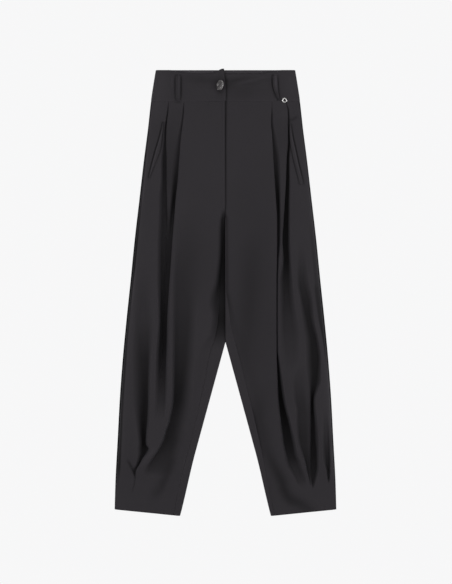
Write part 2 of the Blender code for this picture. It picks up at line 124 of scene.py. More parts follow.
def addRange(tree, source, low, high, **settings):  # what runs from 0 to 1 is made to run from low to high
    values = {"To Min": low, "To Max": high}
    return addNode(tree, "MapRange", values, {"Value": source}, **settings).outputs[0]


def addRamp(tree, source, low, high, *between):  # each stop: where it is and its colour
    ramp = addNode(tree, "ValToRGB", {}, {"Fac": source})
    stops = ramp.color_ramp.elements
    for stop, (place, colour) in zip(list(stops), (low, high)):
        stop.position, stop.color = place, (*colour, 1)
    for place, colour in between:
        stops.new(place).color = (*colour, 1)
    return ramp.outputs["Color"]


def addBump(tree, source, strength, distance):
    values = {"Strength": strength, "Distance": distance}
    return addNode(tree, "Bump", values, {"Height": source}).outputs["Normal"]


bpy.ops.mesh.primitive_plane_add(size=studio["floorSize"], location=(0, 0, -studio["floorDrop"]))
floor = bpy.context.object
floor.name = "floor"
floor.data.materials.append(newPaint("floor_paint", {  # a lit table, so that no shadow falls on it
    "Base Color": (0, 0, 0, 1), "Roughness": 1.0, "Specular IOR Level": 0.0,
    "Emission Color": (*studio["floor"], 1), "Emission Strength": 1.0})[0])
print("studio ready")


def curveAt(xs, ys, x):  # a smooth curve through the points that never swings past them
    xs, ys = np.asarray(xs, float), np.asarray(ys, float)
    step = np.diff(xs)
    slope = np.diff(ys) / step
    steeper = slope[:-1] * slope[1:]
    inside = np.where(steeper > 0, 2 * steeper / (slope[:-1] + slope[1:] + 1e-12), 0)
    tangent = np.concatenate([slope[:1], inside, slope[-1:]])
    x = np.clip(x, xs[0], xs[-1])
    i = np.clip(np.searchsorted(xs, x, side="right") - 1, 0, len(step) - 1)
    h, t = step[i], (x - xs[i]) / step[i]
    return ((1 + 2 * t) * (1 - t) ** 2 * ys[i] + t * (1 - t) ** 2 * h * tangent[i]
            + t * t * (3 - 2 * t) * ys[i + 1] + t * t * (t - 1) * h * tangent[i + 1])


def ease(t):
    t = np.clip(t, 0.0, 1.0)
    return t * t * (3 - 2 * t)


def quarterRound(t):
    t = np.clip(t, 0.0, 1.0)
    return np.sqrt(1 - (1 - t) ** 2)


def easeOne(t):  # ease and quarterRound for a single number, which is quicker
    t = min(max(t, 0.0), 1.0)
    return t * t * (3 - 2 * t)


def quarterRoundOne(t):
    t = min(max(t, 0.0), 1.0)
    return math.sqrt(1 - (1 - t) ** 2)


def bell(x):
    return np.exp(-x ** 2)


outline = {"down": (0, 24, 70, 140, 210, 305, 400, 490, 585, 680, 775, 870, 963, 1029),
           "out": (163, 167, 174, 182, 191, 202, 213, 222, 232, 241, 248, 253, 258, 260)}
crown = {"down": (72, 90, 150, 230, 330, 450, 600, 760, 880, 930, 965, 1000, 1044),
         "height": (7.7, 8.7, 9.4, 11, 14, 18, 20, 21, 20, 14, 8, 5, 4.2)}
# The front's inner edge: its height, how far that holds, over how much it turns to the panel's own height,
# how far the back shows beside it, and how much shade is painted on both there.
innerEdge = {
    "right": {"down": (72, 100, 150, 230, 322, 340, 352, 399, 446, 493, 540, 587, 620, 640, 660, 740, 890,
                       960, 1044),
              "height": (10.4, 10.6, 10.6, 12.3, 15, 9, 6.5, 4.6, 4.6, 4.6, 5, 6.5, 9.5, 12, 13, 13, 10, 6,
                         3.2),
              "hold": (0, 0, 0, 0, 0, 3.5, 4.6, 2.2, 0.8, 1.6, 4, 0, 0, 0, 0, 0, 0, 0, 0),
              "round": (12, 12, 12, 12, 12, 7, 8, 11.5, 12, 13, 21, 16, 16, 24, 30, 30, 30, 24, 20),
              "wrap": (0, 0, 0, 0, 0, 1, 2, 4, 7, 11, 14.5, 17.5, 23, 28, 29, 23, 17, 18, 15),
              "dark": (0, 0, 0, 0, 0, .45, .65, .85, .95, .92, .62, .50, .25, .05, 0, 0, 0, 0, 0),
              "backDark": (0, 0, 0, 0, 0, .7, .8, .85, .88, .85, .72, .80, .55, .2, 0, 0, 0, 0, 0)},
    "left": {"down": (72, 100, 150, 230, 320, 345, 380, 516, 540, 565, 600, 645, 740, 890, 960, 1044),
             "height": (6.6, 7.2, 7.8, 9.6, 12.3, 12.5, 13.5, 14.4, 14.5, 14.3, 14, 13, 12, 10, 6, 3.2),
             "hold": (0,) * 16,
             "round": (8, 8, 8, 8, 8, 8, 8, 9.5, 10, 13, 18, 26, 30, 30, 24, 20),
             "wrap": (0, 0, 0, 0, 0, 0.6, 0.8, 1.2, 5, 8.5, 14, 22.5, 21, 15, 11, 8),
             "dark": (.9, .9, .8, .75, .6, .46, .42, .40, .35, .25, .12, 0, 0, 0, 0, 0),
             "backDark": (0, 0, 0, 0, 0, 0, 0, 0, 0, 0, .1, 0, 0, 0, 0, 0)},
}
crotchTurn = {  # where the inner edge leaves the fly for the inseam
    "right": {"fly": 0.0, "from": -24.0, "over": 22.0}, "left": {"fly": -4.0, "from": 1.0, "over": 16.0},
}
sideShade = {  # the turn of the cloth at the side seam: how much shade is painted there and how wide
    "right": {"down": (72, 130, 164, 223, 281, 340, 399, 458, 516, 634, 693, 810, 869, 928, 955, 985),
              "dark": (0, 0, .50, .55, .55, .70, .86, .95, .86, .84, .80, .76, .74, .76, .30, 0),
              "wide": (1, 1, .6, 1.5, 2, 3.2, 3.8, 3.8, 2.8, 3.2, 4.4, 4.6, 5, 5.4, 4, 3)},
    "left": {"down": (72, 340, 399, 493, 516, 575, 634, 660, 690, 740, 840, 870, 900, 985),
             "dark": (0, 0, .22, .28, .48, .60, .74, .60, .28, .06, .06, .34, .06, 0),
             "wide": (1, 6, 8, 8, 10, 9, 4.5, 3.5, 3, 2, 2, 3, 2, 2)},
}


def sideEdge(down):
    return curveAt(outline["down"], outline["out"], down)


def legInner(down):
    return garment["legApart"] + np.maximum(0.0, (down - garment["legSplit"]) * garment["innerSlope"])


def innerOf(side, column, down):
    return curveAt(innerEdge[side]["down"], innerEdge[side][column], down)


# the shade painted at the side seam, at a place so far within it
def sideDark(side, down, within):
    line = sideShade[side]
    wide = curveAt(line["down"], line["wide"], down)
    return curveAt(line["down"], line["dark"], down) * (1 - ease((within - wide) / (1.2 + 0.4 * wide)))


def backHeight(down):  # the backs come down from the waistband's height to the floor
    low = garment["wall"] / 2
    restTo = garment["bandRestTo"]
    return low + (backBandHeight - low) * ease((restTo - down) / (restTo - garment["waistSeam"]))


def lowestFold(down):
    return backHeight(down) + garment["wall"] + 2.5 * garment["gap"]


def frontInner(side, down):
    turn = crotchTurn[side]
    seam = legInner(down) + innerOf(side, "wrap", down) + 1.5 * garment["gap"]
    start = garment["crotch"] + turn["from"]
    return turn["fly"] + (seam - turn["fly"]) * ease((down - start) / turn["over"])


def frontOuter(down):
    return sideEdge(down) - garment["sideSeamIn"]


def toWorld(side, out, down, height):  # metres; the hem hangs lower towards the inner leg
    drop = garment["hemDrop"] * ease((down - garment["hemDropFrom"])
                                     / (garment["hemLevel"] - garment["hemDropFrom"]))
    across = np.clip((garment["hemOut"] - out) / (garment["hemOut"] - garment["hemIn"]), 0.0, 1.0)
    drop = drop * across + garment["hemEase"] * ease((down - garment["hemEaseFrom"])
                                                     / (garment["hemLevel"] - garment["hemEaseFrom"]))
    return np.stack([sideSign[side] * out, garment["length"] / 2 - down - drop,
                     height + 0 * out], axis=-1) * mm


def placeOf(side, out, down, height):  # the same for a single place
    return Vector(toWorld(side, np.float64(out), np.float64(down), height).tolist())


# Folds of the fronts, each row: down, edge, root, foot, crest, depth, rim, dark, rimDark. From the inner edge
# outwards the cloth comes to the fold's edge, turns down to its root (tucked under where root < edge), runs
# along the fold's floor to the foot and climbs to the crest. rim is how far the crest stays below the panel
# before it. dark is how much shade is painted on the floor, from 0 to 1, and rimDark the same painted shade
# on the cloth after the crest. Numbers left out at the end of a row are 0.
folds = {"right": {}, "left": {}}

folds["right"]["shin"] = (
    (72, 30, 56, 66, 76),
    (305, 40, 88, 100, 111),
    (399, 45, 98, 108, 117, 1.5, 0, .10),
    (446, 48, 102, 112, 121, 3, 0, .22),
    (493, 50, 105, 114, 123.5, 5, 0, .30),
    (540, 60, 94, 115, 124.5, 7, 0, .36),
    (587, 66, 90, 116, 124.5, 9, 0, .42),
    (634, 68, 94, 117, 125, 11, 0, .50),
    (681, 70, 98, 118, 125, 13, 0, .56),
    (728, 74, 104, 119.5, 125, 16, 0, .64),
    (775, 74, 113, 121.5, 126.5, 17, 0, .72),
    (822, 80, 122, 130, 134.5, 17, 0, .55),
    (845, 86, 126, 138, 141.8, 16, 0, .58),
    (871, 90, 130, 146, 150, 15, 0, .60),
    (892, 97, 132, 156.5, 161, 12, 0, .54),
    (909, 103, 132, 168, 173, 9, 0, .48),
    (918, 105, 130, 174, 179, 7.5, 0, .46),
    (936, 108, 138, 180, 191, 4, 0, .34),
    (955, 118, 150, 182, 195),
    (1044, 136, 142, 148, 154),
)
folds["right"]["innerPleat"] = (
    (72, 96, 96.8, 97.8, 99, 0.5, .2),
    (84, 96.4, 94, 97.5, 100, 2.0, .7, .15),
    (95, 96.9, 85, 97.5, 102, 3.3, 1, .45, .05),
    (117, 98.9, 85, 99.5, 105, 3.6, 1, .40, .08),
    (164, 104.5, 91, 106, 116, 5, 1.2, .35, .15),
    (211, 108, 97, 110, 125, 8, 1.4, .42, .22),
    (258, 111.5, 101, 117, 127, 11, 1.6, .66, .28),
    (305, 116.5, 108, 122, 130, 14, 2, .85, .22),
    (352, 120, 114, 126, 132, 15, 8, .60, .45),
    (399, 124, 122, 128, 134, 16, 14, .50, .50),
    (446, 127, 126, 131, 135, 16, 16, .55, .55),
    (493, 130, 130.5, 135, 138, 17, 17, .55, .55),
    (540, 132.5, 134, 138, 140, 18, 18, .60, .60),
    (587, 134.5, 137, 140, 142, 18, 18, .70, .70),
    (634, 135, 138, 141, 143, 18, 18, .75, .75),
    (681, 136.5, 139.5, 142, 144, 17, 17, .60, .60),
    (728, 137.5, 141, 144, 146, 12, 12, .45, .45),
    (775, 138, 143, 146, 148.5, 6, 6, .30, .30),
    (805, 141, 145, 148, 151, 2.5, 2.5, .12, .12),
    (828, 146, 149, 152, 155),
    (845, 149, 152, 155, 158),
    (871, 155, 157.5, 160, 163),
    (892, 163.5, 165, 167, 169),
    (909, 176, 178, 180, 182),
    (918, 182, 184, 186, 188),
    (936, 193.5, 195, 197, 199),
    (955, 197, 199, 201, 203),
    (1044, 161, 166, 171, 176),
)
folds["right"]["outerPleat"] = (
    (72, 132.2, 133, 134, 135.2, 0.5),
    (84, 133, 129, 133.8, 137, 2.4, 0, .15),
    (95, 133.6, 121, 134.5, 138.5, 4.4, 0, .55),
    (117, 136.5, 123, 138, 142, 4.8, 0, .75),
    (140, 138.5, 127, 141, 146, 5.5, 0, .70),
    (164, 139, 128, 142, 148, 7, 0, .45),
    (211, 137.5, 129, 146, 152, 10, 0, .60),
    (258, 137.5, 130, 146, 153, 12, 0, .55),
    (305, 136.5, 132, 147, 157, 13, 0, .45),
    (352, 136, 136, 148, 157, 14, 0, .50),
    (399, 136.5, 139, 149, 160, 15, 0, .50),
    (446, 137.5, 140, 150, 160, 16, 0, .55),
    (493, 140, 143, 149, 161, 17, 0, .60),
    (540, 142.5, 145, 151, 159, 18, 0, .65),
    (587, 144.5, 147, 152, 158, 18, 0, .70),
    (634, 145.5, 148, 153, 161, 18, 0, .70),
    (681, 147, 149.5, 155, 164, 17, 0, .60),
    (728, 148.5, 150.5, 155, 165, 12, 0, .45),
    (775, 150.5, 152, 156, 166, 6, 0, .30),
    (805, 152.5, 154, 158, 167, 2.5, 0, .12),
    (828, 157, 160, 164, 168),
    (845, 163, 166, 169, 172),
    (871, 167, 170, 173, 176),
    (892, 170.5, 172, 174, 175.5),
    (909, 183.5, 185, 187, 189),
    (918, 189, 190.5, 192, 194),
    (936, 200, 201.5, 203, 205),
    (955, 204, 205.5, 207, 209),
    (1044, 184, 189, 194, 199),
)
folds["right"]["calf"] = (
    (72, 139, 143, 147, 151),
    (140, 150, 154, 158, 162),
    (211, 156, 161, 166, 171),
    (330, 166, 174, 180, 190),
    (446, 168, 180, 192, 206),
    (493, 168, 184, 196, 212, 1.5, 0, .08),
    (540, 168, 188, 200, 214, 3, 0, .18),
    (587, 166, 186, 202, 216, 5, 0, .22),
    (634, 172, 180, 200, 218, 8, 0, .40),
    (681, 176.5, 179.5, 197, 219, 11, 0, .58),
    (728, 178, 180.5, 193, 218, 14, 0, .62),
    (775, 179, 181, 191, 217, 16, 0, .70),
    (822, 180.5, 183.5, 194, 211, 17, 0, .75),
    (845, 183, 185.5, 194, 208, 17, 0, .80),
    (869, 184.5, 187, 192, 206, 17, 0, .85),
    (878, 184, 187, 193, 205, 17, 0, .85),
    (888, 177.5, 181, 194, 206, 15, 0, .80),
    (899, 183, 186, 195, 206, 12, 0, .80),
    (910, 191.5, 193.5, 199, 207, 9, 0, .75),
    (926, 201, 203, 206, 212, 6, 0, .70),
    (936, 207, 209, 212, 219, 5, 0, .55),
    (943, 209, 211, 213.5, 219, 4, 0, .40),
    (957, 211, 212, 213, 214),
    (1044, 207, 212, 217, 222),
)
folds["left"]["innerPleat"] = (
    (72, 108, 109, 110, 111.2, 0.4, .1),
    (92, 107.6, 106, 108.8, 112, 1.6, .6, .05),
    (104, 107.2, 95, 108.5, 113, 3.3, 1, .30),
    (117, 106.5, 93, 108, 113, 3.6, 1, .45, .05),
    (164, 109.5, 97, 111, 122, 5.5, 1.2, .52, .10),
    (211, 112, 101, 119, 129, 9, 1.3, .55, .05),
    (258, 115, 104, 121.5, 130, 12, 1.5, .75, .05),
    (305, 118, 108, 125.5, 130, 14, 1.6, .85, .05),
    (352, 120.5, 112, 126.5, 130, 15, 1.6, .70, .12),
    (399, 120.5, 115, 125, 130, 15, 1.4, .48, .05),
    (446, 120.3, 117, 122.5, 126, 15, 1, .70),
    (493, 119.2, 118, 121.3, 124, 15, .6, .60, .05),
    (587, 119.2, 118.5, 121, 123.5, 15, .4, .60),
    (657, 119.4, 119.2, 121.5, 124, 15, .2, .65),
    (693, 120, 120.5, 124, 129, 16, 0, .80),
    (728, 121, 122, 127.5, 134, 17, 0, .80),
    (763, 121.5, 123.5, 132, 139, 18, 0, .92),
    (787, 123.5, 125.5, 137, 143, 18, 0, .92),
    (822, 127.5, 129.5, 146, 152, 18, 0, .84),
    (857, 131.5, 134, 153, 160, 18, 0, .74),
    (880, 134.5, 137, 157, 165, 17, 0, .68),
    (904, 139.8, 143, 160, 170, 15, 0, .55),
    (916, 142, 146, 164, 176, 13, 0, .50),
    (928, 146, 150, 167, 180, 10, 0, .40),
    (939, 151.6, 156, 174, 184, 7, 0, .35),
    (960, 163, 168, 182, 190, 3.5, 0, .25),
    (980, 172, 177, 183, 189),
    (1044, 144, 150, 156, 162),
)
folds["left"]["outerPleat"] = (
    (72, 141, 142, 143, 144.2, 0.5),
    (82, 142.6, 139, 143.6, 146.5, 2.4, 0, .15),
    (95, 145.5, 133, 147, 151, 4.8, 0, .35),
    (117, 146, 133, 148, 153, 5.2, 0, .45),
    (164, 146.5, 134, 149, 156, 7, 0, .75),
    (211, 143, 133, 148.5, 152, 11, 0, .85),
    (258, 141.5, 133, 149, 152.5, 14, 0, .88),
    (305, 138.8, 133, 148, 152, 15, 0, .90),
    (352, 136, 133, 147.5, 151.5, 16, 0, .88),
    (399, 133, 133, 147, 152, 16, 0, .80),
    (446, 133.5, 136, 148, 154, 15, 0, .75),
    (493, 128, 134, 147, 158, 12, 0, .62),
    (540, 128, 135, 150, 162, 9, 0, .50),
    (587, 127, 136, 156, 169, 5, 0, .38),
    (634, 128, 140, 160, 174, 3, 0, .24),
    (681, 134, 145, 160, 172, 2, 0, .12),
    (716, 139, 143, 147, 151),
    (787, 147.5, 150, 152.5, 155.5),
    (822, 153.5, 155.3, 157.1, 159),
    (857, 161.2, 162.2, 163.2, 164.3),
    (869, 163.7, 164.7, 165.6, 166.6),
    (892, 168.8, 170, 171.2, 172.5),
    (916, 177.5, 178.7, 179.9, 181.2),
    (939, 185.3, 186.3, 187.3, 188.3),
    (960, 191.3, 192.3, 193.2, 194.2),
    (980, 190.5, 192.5, 194, 195.5),
    (1044, 168, 173, 178, 183),
)
folds["left"]["shelf"] = (
    (72, 146, 148, 150, 152.5),
    (95, 152.2, 153.8, 155.4, 157),
    (164, 157.5, 159.5, 161.5, 164),
    (258, 155, 158, 160.5, 163.5),
    (399, 155, 158.5, 162, 166),
    (450, 156, 158.5, 161, 164),
    (493, 159.5, 161, 162.5, 164.5),
    (540, 163.5, 165.5, 168, 170.5),
    (587, 170.5, 172, 173.5, 175.5),
    (634, 175.5, 178, 180, 182.5),
    (681, 175, 177, 181, 185),
    (728, 156, 166, 178, 186, 1.5, 1.5, .15, .05),
    (775, 158.5, 162, 184, 191, 4, 4, .35, .15),
    (799, 164, 167, 186, 193, 5.5, 5.5, .40, .25),
    (822, 164, 168, 187, 194, 6.5, 6.5, .42, .30),
    (869, 168, 173, 189, 194, 7.5, 7.5, .55, .40),
    (892, 175, 179, 190, 194.5, 7.5, 7.5, .55, .45),
    (916, 184, 187, 191, 194.5, 7, 7, .60, .55),
    (939, 190, 191.5, 193.5, 195.5, 5, 5, .60, .60),
    (960, 195.5, 196.5, 197.5, 198.5, 2.5, 2.5, .40, .40),
    (975, 197.5, 198.6, 199.7, 200.8),
    (1044, 188, 192, 196, 200),
)
folds["left"]["shin"] = (
    (72, 153.2, 155, 157, 159.5),
    (95, 157.8, 159.3, 160.8, 162.4),
    (164, 165, 167, 169, 171.5),
    (258, 165, 168, 171, 174.5),
    (399, 168, 172, 178, 184),
    (446, 166, 175, 182, 190, 1.5, 0, .15),
    (493, 166, 174, 184, 196, 4, 0, .44),
    (540, 173, 181, 195, 205, 6, 0, .60),
    (587, 178, 192, 200, 209, 7, 0, .70),
    (610, 182, 196, 206, 214, 8, 0, .70),
    (634, 186, 200, 212, 219, 9, 0, .72),
    (681, 187, 203, 217, 225, 10, 0, .75),
    (728, 194, 202, 214, 225, 12, 0, .74),
    (751, 197, 201, 209, 217, 14, 0, .70),
    (775, 198, 200, 205.5, 211, 17, 0, .88),
    (799, 198, 200, 206, 212, 17, 0, .85),
    (822, 198, 200, 208, 215, 17, 0, .70),
    (869, 198, 200, 209.5, 219, 17, 0, .75),
    (892, 197.5, 200, 213, 219, 16, 0, .72),
    (928, 197.5, 200, 214, 219, 13, 0, .72),
    (946, 198.5, 201, 211, 217, 9, 0, .70),
    (965, 200.5, 202, 207, 212, 5, 0, .60),
    (980, 203, 204.5, 206, 208),
    (1044, 206, 210, 214, 218),
)
folds["left"]["side"] = (
    (72, 160.2, 162, 164, 166.3),
    (95, 163.2, 164.8, 166.4, 168.2),
    (164, 172.3, 174.3, 176.3, 178.5),
    (258, 176, 180, 184, 188),
    (400, 197, 200, 203, 206),
    (493, 200, 204, 208, 212),
    (540, 208, 211, 214, 217),
    (587, 212.5, 216, 219, 222),
    (634, 221, 223, 225, 227.5),
    (681, 227, 229, 231, 233),
    (728, 227.5, 230, 233, 236),
    (787, 226, 230, 235, 240),
    (822, 226, 231, 237, 242, 2, 0, .15),
    (869, 225, 232, 240, 245.5, 6, 0, .32),
    (892, 226, 233, 241.5, 246, 8, 0, .45),
    (916, 229, 235, 243, 247, 9, 0, .50),
    (939, 235, 238, 243, 247, 7, 0, .65),
    (957, 238, 240, 243, 246, 4, 0, .50),
    (970, 240.5, 241.5, 242.5, 243.5),
    (1044, 224, 228, 232, 236),
)

# Soft creases and edges between the folds, each mark: how wide, how deep (negative stands up), how much shade
# is painted on it (negative is a painted highlight), and its path of (out, down). Marks 0 deep are painted
# only.
creases = {
    "right": (
        (1.2, -0.15, -0.12, (3.4, 66), (3.4, 200), (3.4, 318)),
        (1.75, 0, 0.80, (0.0, -30), (0.0, 200), (0.0, 345)),
        (16, 0, -0.12, (158, 40), (163, 72), (166, 118)),
        (2.0, 0, -0.45, (176, 110), (181, 164), (187, 223), (192.7, 281), (199.6, 340), (206, 399),
         (211, 458), (219, 560)),
        (3.0, 1.2, 0.62, (230, 914), (224, 924), (218, 936), (211, 953)),
        (4.5, 0, -0.22, (163, 883), (180, 905), (197, 927)),
        (1.2, 0.3, 0.20, (38, 74), (41, 84)),
        (1.7, 0, 0.95, (104, 74.2), (119, 74.2)),
        (10, 2.0, .36, (128, 925), (138, 948), (146, 963), (155, 978), (174, 996)),
        (60, 0, .12, (60, 340), (64, 440), (62, 560)),
        (1.4, 0.9, .42, (211.5, 944), (212.5, 960), (215.5, 974), (220, 987)),
    ),
    "left": (
        (1.3, 0, 0.35, (1.2, -30), (1.2, 110), (0.7, 200), (0.6, 345)),
        (3.2, 0.6, 0.42, (147, 120), (157, 116), (169, 109)),
        (24, 2.0, .22, (62, 400), (60, 446), (57, 520), (50, 600), (44, 690)),
        (20, 2.5, .24, (84, 760), (72, 822), (86, 866), (100, 910)),
        (12, 3.0, .52, (98, 895), (112, 925), (127, 950), (134, 964), (136, 973), (140, 981), (145, 990),
         (154, 999), (175, 1009), (190, 1020), (210, 1034)),
        (9, 0, .10, (94, 945), (100, 980), (106, 1015)),
        (75, 0, .15, (66, 250), (72, 480), (76, 700), (92, 900)),
    ),
}

profile = {"edgeSteps": 6, "rootSteps": 4, "wallSteps": 2, "floorSteps": 2, "climbSteps": 7,
           "room": 0.45, "leastRoll": 0.8, "mostRoll": 3.0,  # how round a fold's edge and root may be
           "tuckOver": 6.0, "steepFrom": 5.0, "steepOver": 5.0, "wideAt": 20.0, "wideOver": 10.0,
           "shallow": 1.5, "none": 0.4,  # tucked or steep folds are sharp, wide or shallow ones are soft
           "softFrom": 0.35, "innerShare": 0.55, "outerShare": 0.35, "apart": 0.07}
turnPoints = profile["edgeSteps"] + profile["wallSteps"] + profile["rootSteps"] + 2  # before a fold's floor
# how far across the columns beside a front's two edges stand, and how many there are between the folds
innerSteps = (0, 0.03, 0.08, 0.15, 0.22, 0.3, 0.4, 0.5, 0.6, 0.72, 0.86)
outerSteps = (0.9, 0.75, 0.6, 0.45, 0.32, 0.22, 0.14, 0.08, 0.035, 0.01, 0)
spans = {"right": (12, 9, 6, 8, 12, 12), "left": (18, 8, 3, 3, 3, 4)}


def foldShape(edge, top, root, floorAt, foot, crest, crestAt, edgeRoom, rootRoom):  # a sharp fold's section
    depth = max(top - floorAt, 0.0)
    roll = max(profile["leastRoll"], min(depth / 4, profile["mostRoll"]) + 0.5 * max(root - edge, 0.0))
    roll, bend = max(min(roll, edgeRoom), 0.2), max(min(roll, rootRoom), 0.2)
    turn = math.atan2(depth, root - edge)
    for _ in range(8):  # the straight wall between the two rolls settles
        over = math.sin(min(turn, math.pi / 2)) - math.sin(turn)
        end = (edge - roll * over, top - roll * (1 - math.cos(turn)))
        start = (root + bend * over, floorAt + bend * (1 - math.cos(turn)))
        turn = 0.5 * turn + 0.5 * math.atan2(max(end[1] - start[1], 0.0), start[0] - end[0])
    over = math.sin(min(turn, math.pi / 2))
    points, low = [], []
    for k in range(profile["edgeSteps"] + 1):
        a = turn * k / profile["edgeSteps"]
        points.append((edge + roll * (math.sin(a) - over), top - roll * (1 - math.cos(a))))
    for k in range(profile["rootSteps"] + 1):
        a = turn * (1 - k / profile["rootSteps"])
        low.append((root + bend * (over - math.sin(a)), floorAt + bend * (1 - math.cos(a))))
    end = points[-1]
    for k in range(1, profile["wallSteps"] + 1):
        t = k / (profile["wallSteps"] + 1)
        points.append((end[0] * (1 - t) + low[0][0] * t, end[1] * (1 - t) + low[0][1] * t))
    points += low
    flatFrom = low[-1][0]
    for k in range(1, profile["floorSteps"] + 1):
        points.append((flatFrom + (foot - flatFrom) * k / (profile["floorSteps"] + 1), floorAt))
    for k in range(profile["climbSteps"] + 1):
        t = k / profile["climbSteps"]
        points.append((foot + (crest - foot) * t, floorAt + (crestAt - floorAt) * easeOne(t)))
    return points


def softShape(fold, rim, high, lowest):  # a gentle dip, with as many points as a sharp fold
    edge, root, foot, crest, depth, fall = fold[:6]
    points, inFrom = [], max(root, edge + profile["softFrom"] * (foot - edge))
    for k in range(turnPoints + profile["floorSteps"] + profile["climbSteps"] + 1):
        if k < turnPoints:
            x = edge + (inFrom - edge) * k / (turnPoints - 1)
        elif k < turnPoints + profile["floorSteps"]:
            x = inFrom + (foot - inFrom) * (k - turnPoints + 1) / (profile["floorSteps"] + 1)
        else:
            x = foot + (crest - foot) * (k - turnPoints - profile["floorSteps"]) / profile["climbSteps"]
        sink = rim + (depth - rim) * easeOne((x - edge) / (inFrom - edge))
        sink = fall + (sink - fall) * easeOne((crest - x) / (crest - foot))
        points.append((x, max(high(x) - sink, lowest)))
    return points, inFrom


def spread(points, least, last):  # sets apart points that fall together, as every row needs all its columns
    kept = [points[0]]
    for x, z in points[1:]:
        px, pz = kept[-1]
        if math.hypot(x - px, z - pz) < least:
            x = px + least
        kept.append((x, z))
    after = last + least
    for k in range(len(kept) - 1, 0, -1):
        if kept[k][0] <= after - least:
            break
        kept[k] = (after - least, kept[k][1])
        after = kept[k][0]
    return kept


def frontSection(side, row, rows):  # one row across a front: its places and the shade painted on each
    inner, outer, lowest = row["inner"], row["outer"], row["lowest"]
    points, shades, flat = [], [], []

    def high(out):
        crowned = lowest + (row["crown"] - lowest) * quarterRoundOne((outer - out) / garment["sideRoll"])
        return crowned + (row["innerHigh"] - row["crown"]) * (1 - easeOne((out - inner - row["hold"])
                                                                          / row["round"]))

    def add(x, sunk, shade):
        points.append((x, max(high(x) - sunk, lowest)))
        shades.append(shade)

    near = min(row["hold"] + row["round"], (rows[0][0] - inner) * profile["innerShare"])
    for t in innerSteps:
        points.append((inner + near * t, high(inner + near * t)))
        shades.append(row["innerDark"] * (1 - easeOne((near * t - row["hold"]) / row["round"])))
    rim, rimDark, before = 0.0, 0.0, inner + near
    for fold, count in zip(rows, spans[side]):
        edge, root, foot, crest, depth, fall, dark, fallDark = fold
        top, crestAt = max(high(edge) - rim, lowest), max(high(crest) - fall, lowest)
        floorAt = min(max(high((edge + crest) / 2) - depth, lowest), top, crestAt)
        sharp = foldShape(edge, top, root, floorAt, foot, crest, crestAt, profile["room"] * (edge - before),
                          profile["room"] * (foot - root))
        soft, inFrom = softShape(fold, rim, high, lowest)
        tucked = easeOne((edge - root) / profile["tuckOver"])
        steep = (easeOne((depth - profile["steepFrom"]) / profile["steepOver"])
                 * easeOne((profile["wideAt"] - root + edge) / profile["wideOver"]))
        blend = max(steep, tucked) * easeOne(depth / profile["shallow"])
        shape = [(a + (c - a) * blend, b + (d - b) * blend) for (a, b), (c, d) in zip(soft, sharp)]
        for k in range(count):
            add(before + (shape[0][0] - before) * (k + 0.5) / (count + 0.5), rim, rimDark)
        for k, (x, z) in enumerate(shape):
            if depth < profile["none"]:
                flat.append(len(points))
            points.append((x, z))
            if k < turnPoints:
                low = blend * min(max((top - z) / max(top - floorAt, 0.3), 0.0), 1.0)
                low += (1 - blend) * easeOne((x - edge) / (inFrom - edge))
                shades.append(rimDark + (dark - rimDark) * low)
            else:
                low = min(max((crest - x) / (crest - foot), 0.0), 1.0)
                shades.append(fallDark + (dark - fallDark) * low)
        rim, rimDark, before = fall, fallDark, crest
    count = spans[side][len(rows)]
    start = max(outer - garment["sideRoll"], before + profile["outerShare"] * (outer - before))
    for k in range(count):
        add(before + (start - before) * (k + 0.5) / count, rim, rimDark)
    for t in outerSteps:
        add(outer - (outer - start) * t, rim * t, rimDark * t)
    points = spread(points, profile["apart"], outer)
    for k in flat:
        points[k] = (points[k][0], max(high(points[k][0]), lowest))
    return points, shades


def pathDistance(path, x, y):  # nearest distance and share along a path
    best, along = np.full(x.shape, 1e9), np.zeros(x.shape)
    total = sum(math.dist(a, b) for a, b in zip(path, path[1:]))
    gone = 0.0
    for a, b in zip(path, path[1:]):
        length = math.dist(a, b)
        t = np.clip(((x - a[0]) * (b[0] - a[0]) + (y - a[1]) * (b[1] - a[1])) / length ** 2, 0, 1)
        d = np.hypot(x - a[0] - t * (b[0] - a[0]), y - a[1] - t * (b[1] - a[1]))
        closer = d < best
        best = np.where(closer, d, best)
        along = np.where(closer, (gone + t * length) / total, along)
        gone += length
    return best, along


def addCreases(marks, out, down, height, shade):
    for wide, deep, dark, *path in marks:
        d, along = pathDistance(path, out, down)
        fade = np.sin(np.pi * np.clip(along * 0.94 + 0.03, 0, 1)) ** 0.6 * bell(d / wide)
        height = height - deep * fade
        shade = shade + (1 - shade) * dark * fade
    return height, shade


drape = {"wide": 46.0, "long": 190.0, "lift": 0.5, "fineWide": 14.0, "fineLong": 40.0, "fineLift": 0.10,
         "shift": {"right": 0.0, "left": 37.0}, "fromEdge": 18.0, "fromWaist": 40.0}


def drapeAt(side, out, down):
    shift = drape["shift"][side]
    value = np.zeros(out.shape)
    for i in np.ndindex(out.shape):
        x, y = out[i], down[i]
        broad = noise.noise(Vector((x / drape["wide"] + shift, y / drape["long"], 0.3)))
        fine = noise.noise(Vector((x / drape["fineWide"], y / drape["fineLong"] + shift, 4)))
        value[i] = drape["lift"] * broad + drape["fineLift"] * fine
    return value


def unit(v):
    return v / np.maximum(np.linalg.norm(v, axis=-1, keepdims=True), 1e-12)


def sheetNormals(places):  # each quad counts the same, so that tight rolls stay even
    quads = unit(np.cross(places[1:, 1:] - places[:-1, :-1], places[1:, :-1] - places[:-1, 1:]))
    total = np.zeros(places.shape)
    for i in (0, 1):
        for j in (0, 1):
            total[i:total.shape[0] - 1 + i, j:total.shape[1] - 1 + j] += quads
    total = unit(total)
    return total if total[..., 2].mean() > 0 else -total


